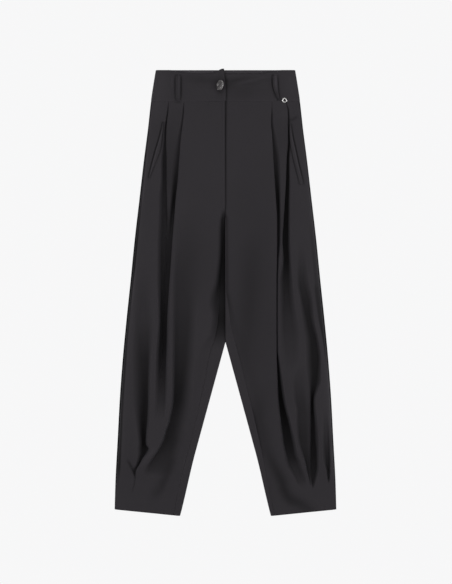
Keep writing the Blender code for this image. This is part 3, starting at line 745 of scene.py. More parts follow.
def sheetPoints(places, normals, around, half):  # the upper face, the lower face and the rounded rim
    outward = np.zeros(places.shape)
    outward[0] += unit(places[0] - places[1])
    outward[-1] += unit(places[-1] - places[-2])
    outward[:, 0] += unit(places[:, 0] - places[:, 1])
    outward[:, -1] += unit(places[:, -1] - places[:, -2])
    places, normals = places.reshape(-1, 3), normals.reshape(-1, 3)
    rim = places[around] + unit(outward.reshape(-1, 3)[around]) * half * 0.9
    return np.concatenate([places + normals * half, places - normals * half, rim])


def sheetFaces(places, normals, index, around):  # quads of both faces and of the rim, facing outwards
    count, after = index.size, np.roll(around, -1)
    rim = np.arange(len(around)) + 2 * count
    rimAfter = np.roll(rim, -1)
    quads = np.stack([index[1:, :-1], index[:-1, :-1], index[:-1, 1:], index[1:, 1:]], axis=-1).reshape(-1, 4)
    upper = np.stack([after, around, rim, rimAfter], axis=-1)
    lower = np.stack([rimAfter, rim, around + count, after + count], axis=-1)
    faces = np.concatenate([quads, quads[:, ::-1] + count, upper, lower])
    facing = np.dot(np.cross(places[0, 1] - places[0, 0], places[1, 0] - places[0, 0]), normals[0, 0])
    return faces if facing > 0 else faces[:, ::-1]


def makeSheet(name, places, wall, shade=None):  # a closed wall on a grid of places
    rows, columns = places.shape[:2]
    normals = sheetNormals(places)
    index = np.arange(rows * columns).reshape(rows, columns)
    around = np.concatenate([index[0, :], index[1:, -1], index[-1, -2::-1], index[-2:0:-1, 0]])
    mesh = bpy.data.meshes.new(name)
    mesh.from_pydata(sheetPoints(places, normals, around, wall * mm / 2).tolist(), [],
                     sheetFaces(places, normals, index, around).tolist())
    across = np.linalg.norm(np.diff(places, axis=1), axis=2).cumsum(axis=1)
    across = np.concatenate([np.zeros((rows, 1)), across], axis=1)
    along = np.linalg.norm(np.diff(places, axis=0), axis=2)
    along = np.concatenate([[0], np.median(along, axis=1).cumsum()])[:, None] + 0 * across
    uv = np.stack([across, along], axis=-1).reshape(-1, 2)
    uv = np.concatenate([uv, uv, uv[around]])
    corner = np.zeros(len(mesh.loops), np.int32)
    mesh.loops.foreach_get("vertex_index", corner)
    mesh.uv_layers.new(name="cloth").data.foreach_set("uv", uv[corner].astype(np.float32).ravel())
    shade = np.clip(np.zeros((rows, columns)) if shade is None else shade, -0.6, 1.0).ravel()
    # the attribute deep keeps the painted shade, and below 0 a painted highlight, for the cloth's colour
    deep = mesh.attributes.new("deep", "FLOAT", "POINT")
    deep.data.foreach_set("value", np.concatenate([shade, shade, shade[around]]).astype(np.float32))
    mesh.shade_smooth()
    piece = bpy.data.objects.new(name, mesh)
    bpy.context.scene.collection.objects.link(piece)
    return piece


def finishPiece(piece, paint, slotName, *nodes):
    piece.data.materials.clear()
    piece.data.materials.append(paint)
    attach(piece, "root")
    if nodes:
        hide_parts(*nodes)
    return piece


suitingLook = {"colour": (0.0255, 0.0232, 0.0264), "roughness": 0.80, "specular": 0.12, "sheen": 0.06,
               "sheenRough": 0.45, "sheenTint": (0.9, 0.88, 1.0), "thread": 0.00055, "twill": 63,
               "warpShare": 0.3, "fuzz": 900, "fuzzShare": 0.4, "tones": (0.93, 1.07), "cloud": 9,
               "clouds": (0.97, 1.03), "bump": 0.2, "bumpDepth": 0.0002}


def makeSuiting():  # a fine twill with a thread's fuzz and soft clouds, with shade painted into its folds and highlights painted in places
    look = suitingLook
    paint, tree, shader = newPaint("suiting_cloth", {
        "Roughness": look["roughness"], "Specular IOR Level": look["specular"], "Sheen Weight": look["sheen"],
        "Sheen Roughness": look["sheenRough"], "Sheen Tint": (*look["sheenTint"], 1)})
    uv = addNode(tree, "UVMap", uv_map="cloth").outputs["UV"]
    turn = addNode(tree, "Mapping", {"Rotation": (0, 0, math.radians(look["twill"]))}, {"Vector": uv})
    ribs = 1 / look["thread"] / 20  # the twill runs across the warp
    rib = addNode(tree, "TexWave", {"Scale": ribs, "Distortion": 0.6, "Detail": 1.0},
                  {"Vector": turn.outputs["Vector"]})
    warp = addNode(tree, "TexWave", {"Scale": ribs}, {"Vector": uv})
    weave = addNode(tree, "Mix", {0: look["warpShare"]}, {2: rib.outputs["Fac"], 3: warp.outputs["Fac"]})
    fuzz = addNoise(tree, uv, look["fuzz"], detail=4)
    grain = addNode(tree, "Mix", {0: look["fuzzShare"]}, {2: weave.outputs[0], 3: fuzz}).outputs[0]
    cloud = addNode(tree, "MapRange", {"From Min": 0.3, "From Max": 0.7, "To Min": look["clouds"][0],
                                       "To Max": look["clouds"][1]},
                    {"Value": addNoise(tree, uv, look["cloud"], detail=3)}).outputs[0]
    deep = addNode(tree, "Attribute", attribute_name="deep").outputs["Fac"]
    tones = addRange(tree, grain, *look["tones"])
    dark = addRange(tree, deep, 1.0, 0.0, clamp=False)  # the painted shade darkens the colour, and below 0 it is a painted highlight
    for other in (cloud, dark):
        tones = addNode(tree, "Math", {}, {0: tones, 1: other}, operation="MULTIPLY").outputs[0]
    colour = addNode(tree, "Mix", {0: 1.0, 6: (*look["colour"], 1)}, {7: tones}, data_type="RGBA",
                     blend_type="MULTIPLY")
    wire(tree, shader, {"Base Color": colour.outputs[2],
                        "Normal": addBump(tree, grain, look["bump"], look["bumpDepth"])})
    return paint


suiting = makeSuiting()
print("suiting made")


def finishCloth(piece, node):
    return finishPiece(piece, suiting, "suiting", node)


pockets = {  # the opening's two edges, from its top to its foot
    "right": {"down": (122, 136, 150, 170, 187, 205, 222, 238, 254),
              "outer": (147.6, 149.4, 152.8, 158.3, 163.4, 168.4, 173, 177, 180.6),
              "inner": (145.6, 146.8, 148.4, 150.4, 153.4, 159.5, 166, 172.2, 178.3), "footDark": 0.05},
    "left": {"down": (126, 143, 160, 180, 200, 218, 235, 252, 268),
             "outer": (153.8, 155.8, 158.6, 162.9, 167.2, 171, 175.2, 179.4, 183.3),
             "inner": (151.5, 151, 151.4, 153.8, 157.6, 161.8, 166.2, 170.4, 174.5), "footDark": 0.5},
}


def pocketMarks(side):  # the panel is pressed in just outside both edges, and shade is painted along them
    pocket = pockets[side]
    outer = [(x + 0.9, y) for x, y in zip(pocket["outer"], pocket["down"])]
    inner = [(x - 0.9, y) for x, y in zip(pocket["inner"], pocket["down"])]
    half = len(inner) // 2
    return ((1.8, 0.7, 0.85, *outer), (1.6, 0.4, 0.55, *inner[:half + 2]),
            (1.6, 0.4, pocket["footDark"], *inner[half:]))


legDown = garment["hemLevel"] - legTop
rowsDown = np.linspace(legTop, garment["hemLevel"], int(round(legDown / garment["rowStep"])) + 1)
seamLight = {"leg": 0.12, "band": 0.10, "wide": 2.0}  # a highlight painted on the pressed edges at the waist seam
# the left front's tongue, which sinks into the gap between the legs
tongue = {"down": (290, 318, 331, 340, 352), "height": (30, 13, 10, 6.8, 4.2), "from": 1.0, "over": 1.5}


def foldTable(rows):
    return np.array([row + (0,) * (9 - len(row)) for row in rows], float)


def buildFront(side):
    tables = [foldTable(rows) for rows in folds[side].values()]
    columns = [np.stack([curveAt(t[:, 0], t[:, k], rowsDown) for k in range(1, 9)], axis=1) for t in tables]
    lines = {"inner": frontInner(side, rowsDown), "outer": frontOuter(rowsDown),
             "lowest": lowestFold(rowsDown), "crown": curveAt(crown["down"], crown["height"], rowsDown),
             "innerHigh": innerOf(side, "height", rowsDown), "innerDark": innerOf(side, "dark", rowsDown),
             "hold": innerOf(side, "hold", rowsDown), "round": innerOf(side, "round", rowsDown)}
    sections, shades = [], []
    for i in range(len(rowsDown)):
        row = {key: float(line[i]) for key, line in lines.items()}
        points, shade = frontSection(side, row, [tuple(c[i].tolist()) for c in columns])
        sections.append(points)
        shades.append(shade)
    points, shade = np.array(sections), np.array(shades)
    out, height = points[..., 0], points[..., 1]
    down = np.repeat(rowsDown[:, None], out.shape[1], axis=1)
    # the creases sink the cloth and paint shade and highlights on it; shade is painted at the side seam and a
    # highlight beside the waist seam
    height, shade = addCreases(creases[side] + pocketMarks(side), out, down, height, shade)
    shade = shade + (1 - shade) * sideDark(side, down, frontOuter(down) - out)
    shade = shade - seamLight["leg"] * bell((down - garment["waistSeam"]) / seamLight["wide"])
    # the drape fades out at the edges, where the cloth is sewn down
    fromEdge = np.minimum(out - frontInner(side, down), frontOuter(down) - out)
    loose = ease(fromEdge / drape["fromEdge"]) * ease((down - garment["waistSeam"]) / drape["fromWaist"])
    height = height + drapeAt(side, out, down) * loose
    if side == "left":
        sunk = curveAt(tongue["down"], tongue["height"], down)
        sinking = (np.minimum(height, sunk) - height) * ease((tongue["from"] - out) / tongue["over"])
        height = np.where(down > tongue["down"][0], height + sinking, height)
    height = np.maximum(height, lowestFold(down))
    print("front", side, points.shape[0], "rows of", points.shape[1])
    return makeSheet(f"front_{side}_cloth", toWorld(side, out, down, height), garment["wall"], shade)


backEdge = {"over": 7, "round": 7, "flat": 3, "across": 12, "lean": 6.0, "leanShare": 0.35, "seamFrom": 240.0,
            "standOver": 15.0, "outer": (6, 2.5, 0.8, 0), "apart": 0.3}


def backSection(side, down):  # under the front, and round the inseam up to the front's inner edge
    lift, inner = float(backHeight(down)), float(legInner(down))
    height = float(innerOf(side, "height", down))
    wrap = max(float(innerOf(side, "wrap", down)) - 1.5 * garment["gap"], 1.2)
    lean = backEdge["leanShare"] * min(wrap, backEdge["lean"])
    standing = []
    for k in range(backEdge["over"]):  # over the leg from the inseam to its inner edge
        t = k / (backEdge["over"] - 1)
        standing.append((inner + lean + (wrap - lean) * (1 - t), height - (0.1 * (height - lift)) * t ** 2))
    for k in range(1, backEdge["round"] + 1):  # down the inner edge
        a = math.pi * k / (backEdge["round"] + 1)
        standing.append((inner + lean * (1 - math.sin(a)), (height * 0.95 + lift * 1.05) / 2
                         + 0.45 * (height - lift) * math.cos(a)))
    for k in range(1, backEdge["flat"] + 1):
        standing.append((inner + lean + (backEdge["lean"] - lean) * k / backEdge["flat"], lift))
    level = easeOne((down - backEdge["seamFrom"]) / (garment["crotch"] - backEdge["seamFrom"]))
    seam = garment["gap"] / 2 + garment["legApart"] * level
    flat = [(seam + 0.5 * k, lift) for k in range(len(standing))]
    stood = easeOne((down - garment["crotch"]) / backEdge["standOver"])
    points = [(a + (c - a) * stood, b + (d - b) * stood) for (a, b), (c, d) in zip(flat, standing)]
    first, last, across = points[-1][0], float(sideEdge(down)), backEdge["across"]
    points += [(first + (last - first) * (k / (across + 2)), lift) for k in range(1, across + 1)]
    points += [(last - inward, lift) for inward in backEdge["outer"]]
    return spread(points, backEdge["apart"], last)


def buildBack(side):
    points = np.array([backSection(side, float(down)) for down in rowsDown])
    out, height = points[..., 0], points[..., 1]
    down = np.repeat(rowsDown[:, None], out.shape[1], axis=1)
    turned = np.arange(out.shape[1]) < backEdge["over"] + backEdge["round"]
    # shade painted on the back where it turns up into the gap between the legs, and at the side seam
    shade = innerOf(side, "backDark", down) * turned[None, :]
    shade = shade + sideDark(side, down, 0 * down) * (out > sideEdge(down) - 3.0)
    return makeSheet(f"back_{side}_cloth", toWorld(side, out, down, height), garment["wall"], shade)


legs = {}
for side in sideSign:
    legs[side] = finishCloth(buildFront(side), f"front_{side}")
    finishCloth(buildBack(side), f"back_{side}")
print("legs made")

band = {"step": 2.2, "rows": 40, "height": 7.4, "tall": 70.0, "overlap": 30.0, "flatTo": 136.0,
        "lift": 2.4, "liftFrom": 26.0, "liftOver": 24.0,  # where the overlap lies on the other end
        "dip": 8.0, "dipFrom": 135.0, "dipOver": 60.0, "corner": 11.1, "cornerFrom": 30.5, "cornerOver": 28.5,
        "leanIn": 4.0, "leanDown": 1.3, "leanOver": 30.0, "edgeRoll": 3.0, "edgeDrop": 0.9,
        "sideIn": 1.5, "sideRoll": 22.0, "sideTurn": 2.4,
        "drape": 0.6, "drapeAt": (1.3, 2.0, 400), "looseTop": 0.1, "looseFoot": 0.15}
# Marks on the front waistbands, as the creases: how wide, how deep, how much shade is painted (negative is a
# painted highlight) and the path. Among them are painted shadows beside the belt loops and around the button,
# and painted light at the sides.
bandMarks = {
    "right": (
        (1.9, 0.3, 0.66, (104.8, 12), (104.8, 71)),
        (1.8, 0.3, 0.50, (118.0, 12), (118.0, 71)),
        (1.6, -0.5, -0.25, (124.5, 16), (125.0, 42)),
        (1.6, 0.2, 0.85, (105, 71.5), (118, 71.5)),
        (9.0, 0.5, 0.17, (98, 18), (10, 25)),
        (9.5, 0, 0.50, (12.4, 16), (13.4, 34), (14.8, 57)),
        (7.0, 0.4, 0.03, (8, 62), (42, 69)),
        (20, 0, -0.16, (152, -20), (156, 36), (160, 95)),
    ),
    "left": (
        (2.0, 0.3, 0.80, (109.3, 10), (110.2, 33), (112.6, 45), (115.6, 54)),
        (2.6, 0.3, 0.38, (113, 47), (116.8, 57), (121, 66), (126, 77)),
        (1.9, 0.3, 0.50, (122.8, 14), (123.2, 40), (125.2, 55), (128.2, 68)),
        (1.8, 0.2, 0.80, (121.5, 72), (131, 72)),
        (4.2, 0.2, 0.64, (-3.2, -8), (-3, 8), (-2.7, 14), (-1.2, 19), (0.6, 24), (1.2, 40), (1.2, 74)),
        (3.4, -0.7, -0.20, (28, 31.5), (53, 25.5), (76, 20.5), (94, 16)),
        (3.2, 0.4, 0.13, (8, 29), (22, 23.5), (34, 20.5), (52, 15.5)),
        (3.6, 0.4, 0.12, (38, 34), (62, 32), (86, 30)),
        (6.0, 0.7, 0.14, (4, 24), (60, 20), (104, 24)),
        (16.0, 0.5, 0.12, (6, 50), (40, 52), (70, 50)),
        (13.0, 0.5, 0.05, (10, 48), (58, 44), (112, 47)),
        (20, 0, -0.10, (152, -20), (156, 36), (160, 95)),
    ),
}


def bandTopAt(side, out):  # the top edge dips towards the middle, and the overlap's corner stands up again
    dip = garment["bandTop"] + band["dip"] * ease((band["dipFrom"] - out) / band["dipOver"])
    if side == "right":
        dip = dip - band["corner"] * ease((band["cornerFrom"] - out) / band["cornerOver"])
    return dip


def bandHeightAt(side, out):
    lift = ease((band["overlap"] + band["liftFrom"] - out) / band["liftOver"]) if side == "right" else 0.0
    return band["height"] + band["lift"] * lift + 0 * out


def buildFrontBand(side):
    inner = 0.0 if side == "right" else -band["overlap"]
    level = np.concatenate([[0, 0.008, 0.02, 0.04, 0.07], np.linspace(0.1, 1, band["rows"])])[:, None]
    turn = np.array([[1.0, 0.86, 0.72, 0.58, 0.46, 0.35, 0.25, 0.17, 0.1, 0.05, 0.02, 0.0]])
    flat = np.arange(inner, band["flatTo"], band["step"])[None, :]
    top = bandTopAt(side, flat)
    out = flat + 0 * level
    if side == "right":  # the overlap's edge leans away at the top
        leaning = ease((band["leanOver"] - out) / band["leanOver"])
        out = out + band["leanIn"] * (1 - ease(level * band["leanDown"])) * leaning
    sideDown = garment["bandTop"] + (bandFoot - garment["bandTop"]) * level
    out = np.concatenate([out, sideEdge(sideDown) - band["sideIn"] - band["sideRoll"] * turn], axis=1)
    down = np.concatenate([top + (bandFoot - top) * level, sideDown + 0 * turn], axis=1)
    low = backBandHeight + garment["bandWall"] + garment["gap"]
    rolled = low + (band["height"] - low) * quarterRound(turn * band["sideTurn"])
    height = np.concatenate([bandHeightAt(side, flat) + 0 * level, rolled + 0 * level], axis=1)
    # the marks sink the band and paint shade and highlights on it, and a highlight is painted beside the
    # waist seam
    height, shade = addCreases(bandMarks[side], out, down, height, np.zeros(out.shape))
    loose = ease(level / band["looseTop"]) * ease((1 - level) / band["looseFoot"])
    across, along, shift = band["drapeAt"]
    height = height + band["drape"] * loose * drapeAt(side, out * across, down * along + shift)
    height = height - band["edgeDrop"] * (1 - quarterRound(level * band["tall"] / band["edgeRoll"]))
    shade = shade - seamLight["band"] * bell((1 - level) * band["tall"] / seamLight["wide"])
    places = toWorld(side, out, down, height)
    return makeSheet(f"waistband_front_{side}_cloth", places, garment["bandWall"], shade)


backBand = {"columns": 121, "roll": 1.7, "rollStart": 1.5, "rollTo": 5.0, "rollOver": 6.0, "edgeDark": 0.30,
            "edgeWide": 0.9, "underDark": 0.40, "underWide": 1.2, "light": 0.36, "leftLight": 0.14,
            "leftOver": 12, "rollIn": (140, 30), "lightIn": (150, 20)}  # where each starts and over how much


def buildBackBand():  # its inside shows as a strip above the fronts, with shade painted at its top edge and under the fronts' edge, and light painted on the strip
    level = [0, 0.006, 0.015, 0.03, 0.05, 0.08, 0.11, 0.15, *np.linspace(0.2, 1, 14)]
    down = garment["bandTop"] + (bandFoot - garment["bandTop"]) * np.array(level)[:, None]
    out = np.linspace(-1, 1, backBand["columns"])[None, :] * sideEdge(down)
    down = down + 0 * out
    away = down - garment["bandTop"]
    sides = (backBand["rollIn"], backBand["lightIn"])
    rolling, lit = (ease((start - abs(out)) / over) for start, over in sides)
    rolling = rolling * (1 - ease((away - backBand["rollTo"]) / backBand["rollOver"]))
    height = backBandHeight + backBand["roll"] * rolling * ease(away / backBand["rollStart"])
    hidden = bell(np.maximum(bandTopAt("left", abs(out)) - down, 0) / backBand["underWide"])
    # painted shade at the top edge and under the fronts' edge, and painted light on the strip
    shade = backBand["edgeDark"] * bell(away / backBand["edgeWide"]) + backBand["underDark"] * hidden * lit
    shade = shade - (backBand["light"] + backBand["leftLight"] * ease(-out / backBand["leftOver"])) * lit
    return makeSheet("waistband_back_cloth", toWorld("left", out, down, height), garment["bandWall"], shade)


def surfaceOf(piece):
    mesh = piece.data
    return BVHTree.FromPolygons([v.co for v in mesh.vertices], [list(p.vertices) for p in mesh.polygons])


def topAt(surface, side, out, down):  # the cloth's upper face, in millimetres above the floor
    spot = placeOf(side, out, down, 0.0)
    hit = surface.ray_cast(Vector((spot.x, spot.y, 1.0)), Vector((0, 0, -1)))[0]
    return hit.z / mm if hit else 0.0


bands = {}
for side in sideSign:
    bands[side] = finishCloth(buildFrontBand(side), f"waistband_front_{side}")
finishCloth(buildBackBand(), "waistband_back")
print("waistband made")

loop = {"width": 11.0, "stand": 2.2, "start": 11.0, "end": 71.6, "rows": 44, "columns": 15,
        "edgeDrop": 0.9, "edgeDark": 0.35, "innerDark": 0.10, "ridge": 0.35, "ridgeAt": 0.30,
        "ridgeWide": 0.08, "pressedAt": (0.94, 0.03), "pressedWide": 0.02, "pressed": 0.45,
        "pressedDark": 0.30, "litTo": 0.75, "litOver": 0.45, "lowFrom": 0.6, "lowOver": 0.2,
        "backRows": 30, "backColumns": 11, "backIn": 2,
        "backAt": {"back_right": -104.0, "back_centre": 0.0, "back_left": 104.0}}
# Where each front loop runs and how wide it shows, its painted highlight (how strong, where, how wide) and
# the shade painted at its foot. The left one turns on itself towards its foot.
loopLines = {
    "right": {"down": (12, 32, 52, 71), "out": (111.4, 111.4, 111.4, 111.4), "wide": (11, 11, 11, 11),
              "lit": (0.18, -0.2, 0.16), "low": 0.02},
    "left": {"down": (12, 32, 47, 58, 71), "out": (116.2, 116.7, 118.6, 121.6, 125.6),
             "wide": (11, 10.8, 9.4, 7, 4.4), "lit": (0.48, 0.12, 0.28), "low": 0.16},
}


def buildFrontLoop(side):
    surface, line = surfaceOf(bands[side]), loopLines[side]
    t = np.linspace(0, 1, loop["rows"])[:, None]
    across = np.linspace(-0.5, 0.5, loop["columns"])[None, :]
    down = loop["start"] + (loop["end"] - loop["start"]) * t + 0 * across
    centre = curveAt(line["down"], line["out"], down)
    out = centre + across * curveAt(line["down"], line["wide"], down)
    base = np.array([[topAt(surface, side, c, d)] for c, d in zip(centre[:, 0], down[:, 0])])
    arch = loop["stand"] * np.minimum(1, np.sin(np.pi * np.clip(t * 1.04 - 0.02, 0, 1)) * 1.6)
    pressed = sum(bell((t - at) / loop["pressedWide"]) for at in loop["pressedAt"])
    height = base + garment["gap"] + garment["loopWall"] / 2 + arch
    height = height - loop["edgeDrop"] * np.abs(2 * across) ** 6
    height = height + loop["ridge"] * bell((across * sideSign[side] - loop["ridgeAt"]) / loop["ridgeWide"])
    height = height - loop["pressed"] * pressed
    # shade is painted at the loop's edges, on one half, on its pressed ends and low down, and a highlight is
    # painted along it
    shade = loop["edgeDark"] * np.abs(2 * across) ** 8 + loop["pressedDark"] * pressed
    shade = shade + loop["innerDark"] * (across * sideSign[side] < 0)
    lit, litAt, litWide = line["lit"]
    shade = shade - lit * bell((across - litAt) / litWide) * ease((loop["litTo"] - t) / loop["litOver"])
    shade = shade + line["low"] * ease((t - loop["lowFrom"]) / loop["lowOver"])
    places = toWorld(side, out, down, height)
    return makeSheet(f"belt_loop_front_{side}_cloth", places, garment["loopWall"], shade)


def buildBackLoop(name):
    across = np.linspace(-0.5, 0.5, loop["backColumns"])[None, :]
    down = np.linspace(garment["bandTop"] + loop["backIn"], garment["waistSeam"] - loop["backIn"],
                       loop["backRows"])[:, None] + 0 * across
    out = loop["backAt"][name] + across * loop["width"] + 0 * down
    places = toWorld("left", out, down, garment["loopWall"] / 2)
    return makeSheet(f"belt_loop_{name}_cloth", places, garment["loopWall"])


for side in sideSign:
    finishCloth(buildFrontLoop(side), f"belt_loop_front_{side}")
for name in loop["backAt"]:
    finishCloth(buildBackLoop(name), f"belt_loop_{name}")
print("belt loops made")

welt = {"wall": 1.2, "above": 0.9, "rows": 60, "columns": 13, "outerDark": 0.70, "outerWide": 0.9,
        "innerDark": 0.25, "innerWide": 0.8, "light": 0.40, "lightIn": 2.7}


def buildWelt(side):
    surface, pocket = surfaceOf(legs[side]), pockets[side]
    t = np.linspace(0, 1, welt["rows"])[:, None]
    across = np.linspace(0, 1, welt["columns"])[None, :]
    down = pocket["down"][0] + (pocket["down"][-1] - pocket["down"][0]) * t + 0 * across
    inner, outer = (curveAt(pocket["down"], pocket[key], down) for key in ("inner", "outer"))
    out, wide = inner + (outer - inner) * across, outer - inner
    base = np.vectorize(lambda o, d: topAt(surface, side, o, d))(out, down)
    base = np.maximum(base, (base.max(axis=1, keepdims=True) * 2 + base) / 3)
    height = base + garment["gap"] / 2 + welt["wall"] / 2 + welt["above"] * (1 - np.abs(2 * across - 1) ** 4)
    inward = (1 - across) * wide
    # shade painted along both edges of the welt and a highlight painted inside its outer edge
    shade = welt["outerDark"] * bell(inward / welt["outerWide"])
    shade = shade + welt["innerDark"] * bell(across * wide / welt["innerWide"])
    shade = shade - welt["light"] * bell(inward - welt["lightIn"]) * np.sin(np.pi * t) ** 0.5
    return makeSheet(f"pocket_welt_{side}_cloth", toWorld(side, out, down, height), welt["wall"], shade)


for side in sideSign:
    finishCloth(buildWelt(side), f"pocket_welt_{side}")
print("pocket welts made")

button = {"across": -12.9, "down": 36.5, "radius": 12.1, "thick": 2.5, "tilt": 54.0, "lean": 9.0, "rim": 2.4,
          "rimSlope": 0.7, "dish": 0.9, "hole": 1.6, "pitch": 3.3, "rise": 10.6, "round": 0.45}
overlapTop = band["height"] + band["lift"] + garment["bandWall"] / 2  # the waistband's face under the button


def alone(piece):
    bpy.ops.object.select_all(action="DESELECT")
    piece.select_set(True)
    bpy.context.view_layer.objects.active = piece


def applyAll(piece):
    alone(piece)
    for modifier in list(piece.modifiers):
        bpy.ops.object.modifier_apply(modifier=modifier.name)


def settle(piece, matrix):  # the finished piece keeps its place in its mesh
    piece.data.transform(matrix @ piece.matrix_world)
    piece.matrix_world = Matrix.Identity(4)
    return piece


def cylinder(name, radius, length, steps, place=(0, 0, 0)):
    bpy.ops.object.select_all(action="DESELECT")
    bpy.ops.mesh.primitive_cylinder_add(vertices=steps, radius=radius * mm, depth=length * mm,
                                        location=tuple(v * mm for v in place))
    bpy.context.object.name = name
    return bpy.context.object


def cutWith(piece, tools):
    for tool in tools:
        boolean = piece.modifiers.new("cut", "BOOLEAN")
        boolean.operation, boolean.solver, boolean.object = "DIFFERENCE", "EXACT", tool
    applyAll(piece)
    for tool in tools:
        bpy.data.objects.remove(tool)


def makeHorn():  # clouded and polished
    paint, tree, shader = newPaint("horn_polished", {"Specular IOR Level": 0.6, "Coat Weight": 0.4,
                                                     "Coat Roughness": 0.15})
    where = addNode(tree, "TexCoord").outputs["Object"]
    streak = addNode(tree, "Mapping", {"Scale": (1.0, 0.55, 1.0), "Rotation": (0, 0, 0.6)}, {"Vector": where})
    cloud = addNoise(tree, streak.outputs["Vector"], 330, detail=5, distortion=1.6)
    colour = addRamp(tree, cloud, (0.36, (0.016, 0.015, 0.016)), (0.66, (0.30, 0.285, 0.285)),
                     (0.52, (0.060, 0.056, 0.058)))
    wire(tree, shader, {"Base Color": colour, "Roughness": addRange(tree, cloud, 0.22, 0.42),
                        "Normal": addBump(tree, addNoise(tree, where, 1500), 0.06, 0.0001)})
    return paint


def buildButton():
    piece = cylinder("button_horn", button["radius"], button["thick"], 64)
    bpy.ops.object.mode_set(mode="EDIT")
    bpy.ops.mesh.select_mode(type="FACE")
    bpy.ops.mesh.select_all(action="DESELECT")
    bpy.ops.object.mode_set(mode="OBJECT")
    for face in piece.data.polygons:  # its top
        face.select = face.normal.z > 0.9
    bpy.ops.object.mode_set(mode="EDIT")
    bpy.ops.mesh.inset(thickness=button["rim"] * mm)
    bpy.ops.mesh.inset(thickness=button["rimSlope"] * mm)
    bpy.ops.transform.translate(value=(0, 0, -button["dish"] * mm))
    bpy.ops.object.mode_set(mode="OBJECT")
    holes = []
    for k in range(4):
        a = math.pi / 4 + math.pi / 2 * k
        holes.append(cylinder("hole", button["hole"], button["thick"] * 2, 20,
                              (button["pitch"] * math.cos(a), button["pitch"] * math.sin(a), 0)))
    cutWith(piece, holes)
    bevel = piece.modifiers.new("bevel", "BEVEL")
    bevel.width, bevel.segments = button["round"] * mm, 3
    bevel.limit_method, bevel.angle_limit = "ANGLE", math.radians(35)
    bevel.use_clamp_overlap = True
    applyAll(piece)
    bpy.ops.object.shade_smooth_by_angle(angle=math.radians(40))
    return piece


def buttonPlace():
    spot = placeOf("left", button["across"], button["down"], overlapTop + garment["gap"] + button["rise"])
    return (Matrix.Translation(spot) @ Matrix.Rotation(-math.radians(button["lean"]), 4, "Z")
            @ Matrix.Rotation(-math.radians(button["tilt"]), 4, "Y"))


finishPiece(settle(buildButton(), buttonPlace()), makeHorn(), "button", "button")
print("button made")

thread = {"radius": 0.24, "shank": 1.5, "shankLength": 9.0, "shankAcross": 1.5, "shankRise": 4.2,
          "shankTilt": -0.35, "shankRound": 0.5, "tackLength": 5.5, "tackBeyond": 1.5,
          "crossLength": 7.4, "crossFat": 2.6, "crossRise": 0.15, "crossOver": 0.25, "crossApart": 0.35,
          "tailLength": 4.6, "tailFat": 2.0, "tailRise": 0.5,
          "tail": ((11.2, 49, 1.1), (9.4, 51.5, 0.75), (8.2, 54.5, 1.3), (9.6, 57.5, 2.3), (11.6, 60, 2.1))}
pocketTack = (0.3, 4, 0.55)  # of a bar tack: its angle, its stitches and their spacing
tackAt = (("right", 37, 80, (0.9, 3, 0.6)), ("right", 121.5, 1016, (0.2, 4, 0.6)),
          ("left", 224, 1020, (0.2, 3, 0.6)))


def makeThread():
    paint, tree, shader = newPaint("thread_matt", {"Roughness": 0.6, "Specular IOR Level": 0.3})
    twist = addNoise(tree, addNode(tree, "TexCoord").outputs["Object"], 1800)
    colour = addRamp(tree, twist, (0.3, (0.010, 0.009, 0.011)), (0.7, (0.038, 0.035, 0.040)))
    wire(tree, shader, {"Base Color": colour, "Normal": addBump(tree, twist, 0.4, 0.0001)})
    return paint


def stitchesAlong(name, spots, length, fat=1.0):  # spots: each stitch's place in metres and its direction
    bpy.ops.object.select_all(action="DESELECT")
    bpy.ops.mesh.primitive_uv_sphere_add(segments=8, ring_count=6, radius=1.0)
    first = bpy.context.object
    wide = thread["radius"] * fat * mm
    first.data.transform(Matrix.Diagonal((length / 2 * mm, wide, wide * 0.8, 1)))
    copies = []
    for place, angle in spots:
        copy = first.copy()
        copy.data = first.data.copy()
        copy.data.transform(Matrix.Translation(place) @ Matrix.Rotation(angle, 4, "Z"))
        bpy.context.scene.collection.objects.link(copy)
        copies.append(copy)
    bpy.data.objects.remove(first)
    alone(copies[0])
    for copy in copies:
        copy.select_set(True)
    bpy.ops.object.join()
    piece = bpy.context.object
    piece.name = name
    bpy.ops.object.shade_smooth()
    return piece


def tack(side, out, down, look):  # close stitches side by side
    angle, count, step = look
    spots = []
    for k in range(count):
        off = (k - (count - 1) / 2) * step
        x, y = out - off * math.sin(angle), down - off * math.cos(angle)
        spot = placeOf(side, x, y, topAt(legSurface[side], side, x, y) + thread["radius"] * 0.5)
        spots.append((spot, angle * sideSign[side]))
    return spots


def buildTacks():
    spots = []
    for side, pocket in pockets.items():
        for end, beyond in ((0, -thread["tackBeyond"]), (-1, thread["tackBeyond"])):
            middle = (pocket["outer"][end] + pocket["inner"][end]) / 2
            spots += tack(side, middle, pocket["down"][end] + beyond, pocketTack)
    for side, out, down, look in tackAt:
        spots += tack(side, out, down, look)
    return stitchesAlong("bar_tacks", spots, thread["tackLength"])


def buildShank():
    shank = cylinder("button_shank", thread["shank"], thread["shankLength"], 16)
    bpy.ops.object.mode_set(mode="EDIT")
    bpy.ops.mesh.select_all(action="SELECT")
    bpy.ops.mesh.bevel(offset=thread["shankRound"] * mm, segments=3, affect="EDGES")
    bpy.ops.object.mode_set(mode="OBJECT")
    bpy.ops.object.shade_smooth()
    spot = placeOf("left", button["across"] + thread["shankAcross"], button["down"],
                   overlapTop + thread["shankRise"])
    return settle(shank, Matrix.Translation(spot) @ Matrix.Rotation(thread["shankTilt"], 4, "Y"))


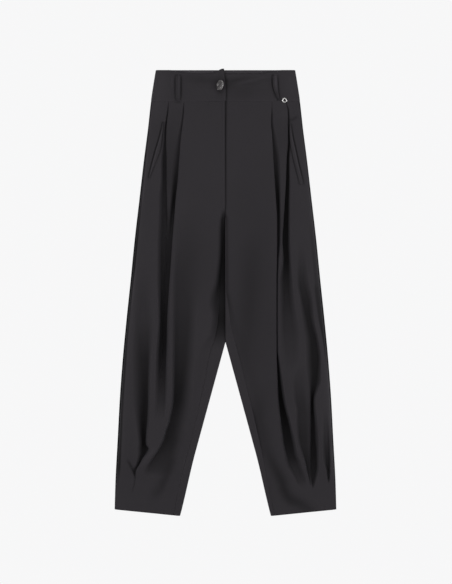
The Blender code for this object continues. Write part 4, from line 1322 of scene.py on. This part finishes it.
def buildCross():  # the thread over the button's holes, corner to corner
    face, apart = button["thick"] / 2 - button["dish"] + thread["crossRise"], thread["crossApart"]
    cross = [((0, 0, face * mm), a) for a in (math.pi / 4, -math.pi / 4)]
    cross += [((0, off * mm, (face + thread["crossOver"]) * mm), math.pi / 4 + off * 0.2)
              for off in (-apart, apart)]
    stitches = stitchesAlong("button_stitches", cross, thread["crossLength"], thread["crossFat"])
    return settle(stitches, buttonPlace())


def buildTail():  # the thread's loose end below the button
    surface, spots = surfaceOf(bands["right"]), []
    for out, down, angle in thread["tail"]:
        high = topAt(surface, "right", out, down) + thread["tailRise"]
        spots.append((placeOf("right", out, down, high), angle))
    return stitchesAlong("thread_tail", spots, thread["tailLength"], thread["tailFat"])


yarn = makeThread()
legSurface = {side: surfaceOf(legs[side]) for side in sideSign}
for build in (buildTacks, buildShank, buildCross, buildTail):
    finishPiece(build(), yarn, "suiting")
print("thread made")

ring = {"across": 138.5, "down": 71.0, "radius": 4.4, "wire": 1.55, "flat": 0.52}


def makeSteel():
    paint, tree, shader = newPaint("steel_bright", {"Metallic": 1.0})
    cloud = addNoise(tree, addNode(tree, "TexCoord").outputs["Object"], 420, detail=3)
    colour = addRamp(tree, cloud, (0.38, (0.10, 0.098, 0.098)), (0.60, (0.62, 0.61, 0.60)))
    wire(tree, shader, {"Base Color": colour, "Roughness": addRange(tree, cloud, 0.12, 0.34)})
    return paint


def buildRing():  # lies flat on the waistband
    bpy.ops.object.select_all(action="DESELECT")
    bpy.ops.mesh.primitive_torus_add(major_segments=64, minor_segments=20, major_radius=ring["radius"] * mm,
                                     minor_radius=ring["wire"] * mm)
    piece = bpy.context.object
    piece.name = "ring_metal"
    piece.data.transform(Matrix.Diagonal((1, 1, ring["flat"], 1)))
    bpy.ops.object.shade_smooth()
    height = band["height"] + garment["bandWall"] / 2 + garment["gap"] + ring["wire"] * ring["flat"]
    return settle(piece, Matrix.Translation(placeOf("left", ring["across"], ring["down"], height)))


finishPiece(buildRing(), makeSteel(), "metal", "metal_ring")
print("ring made")
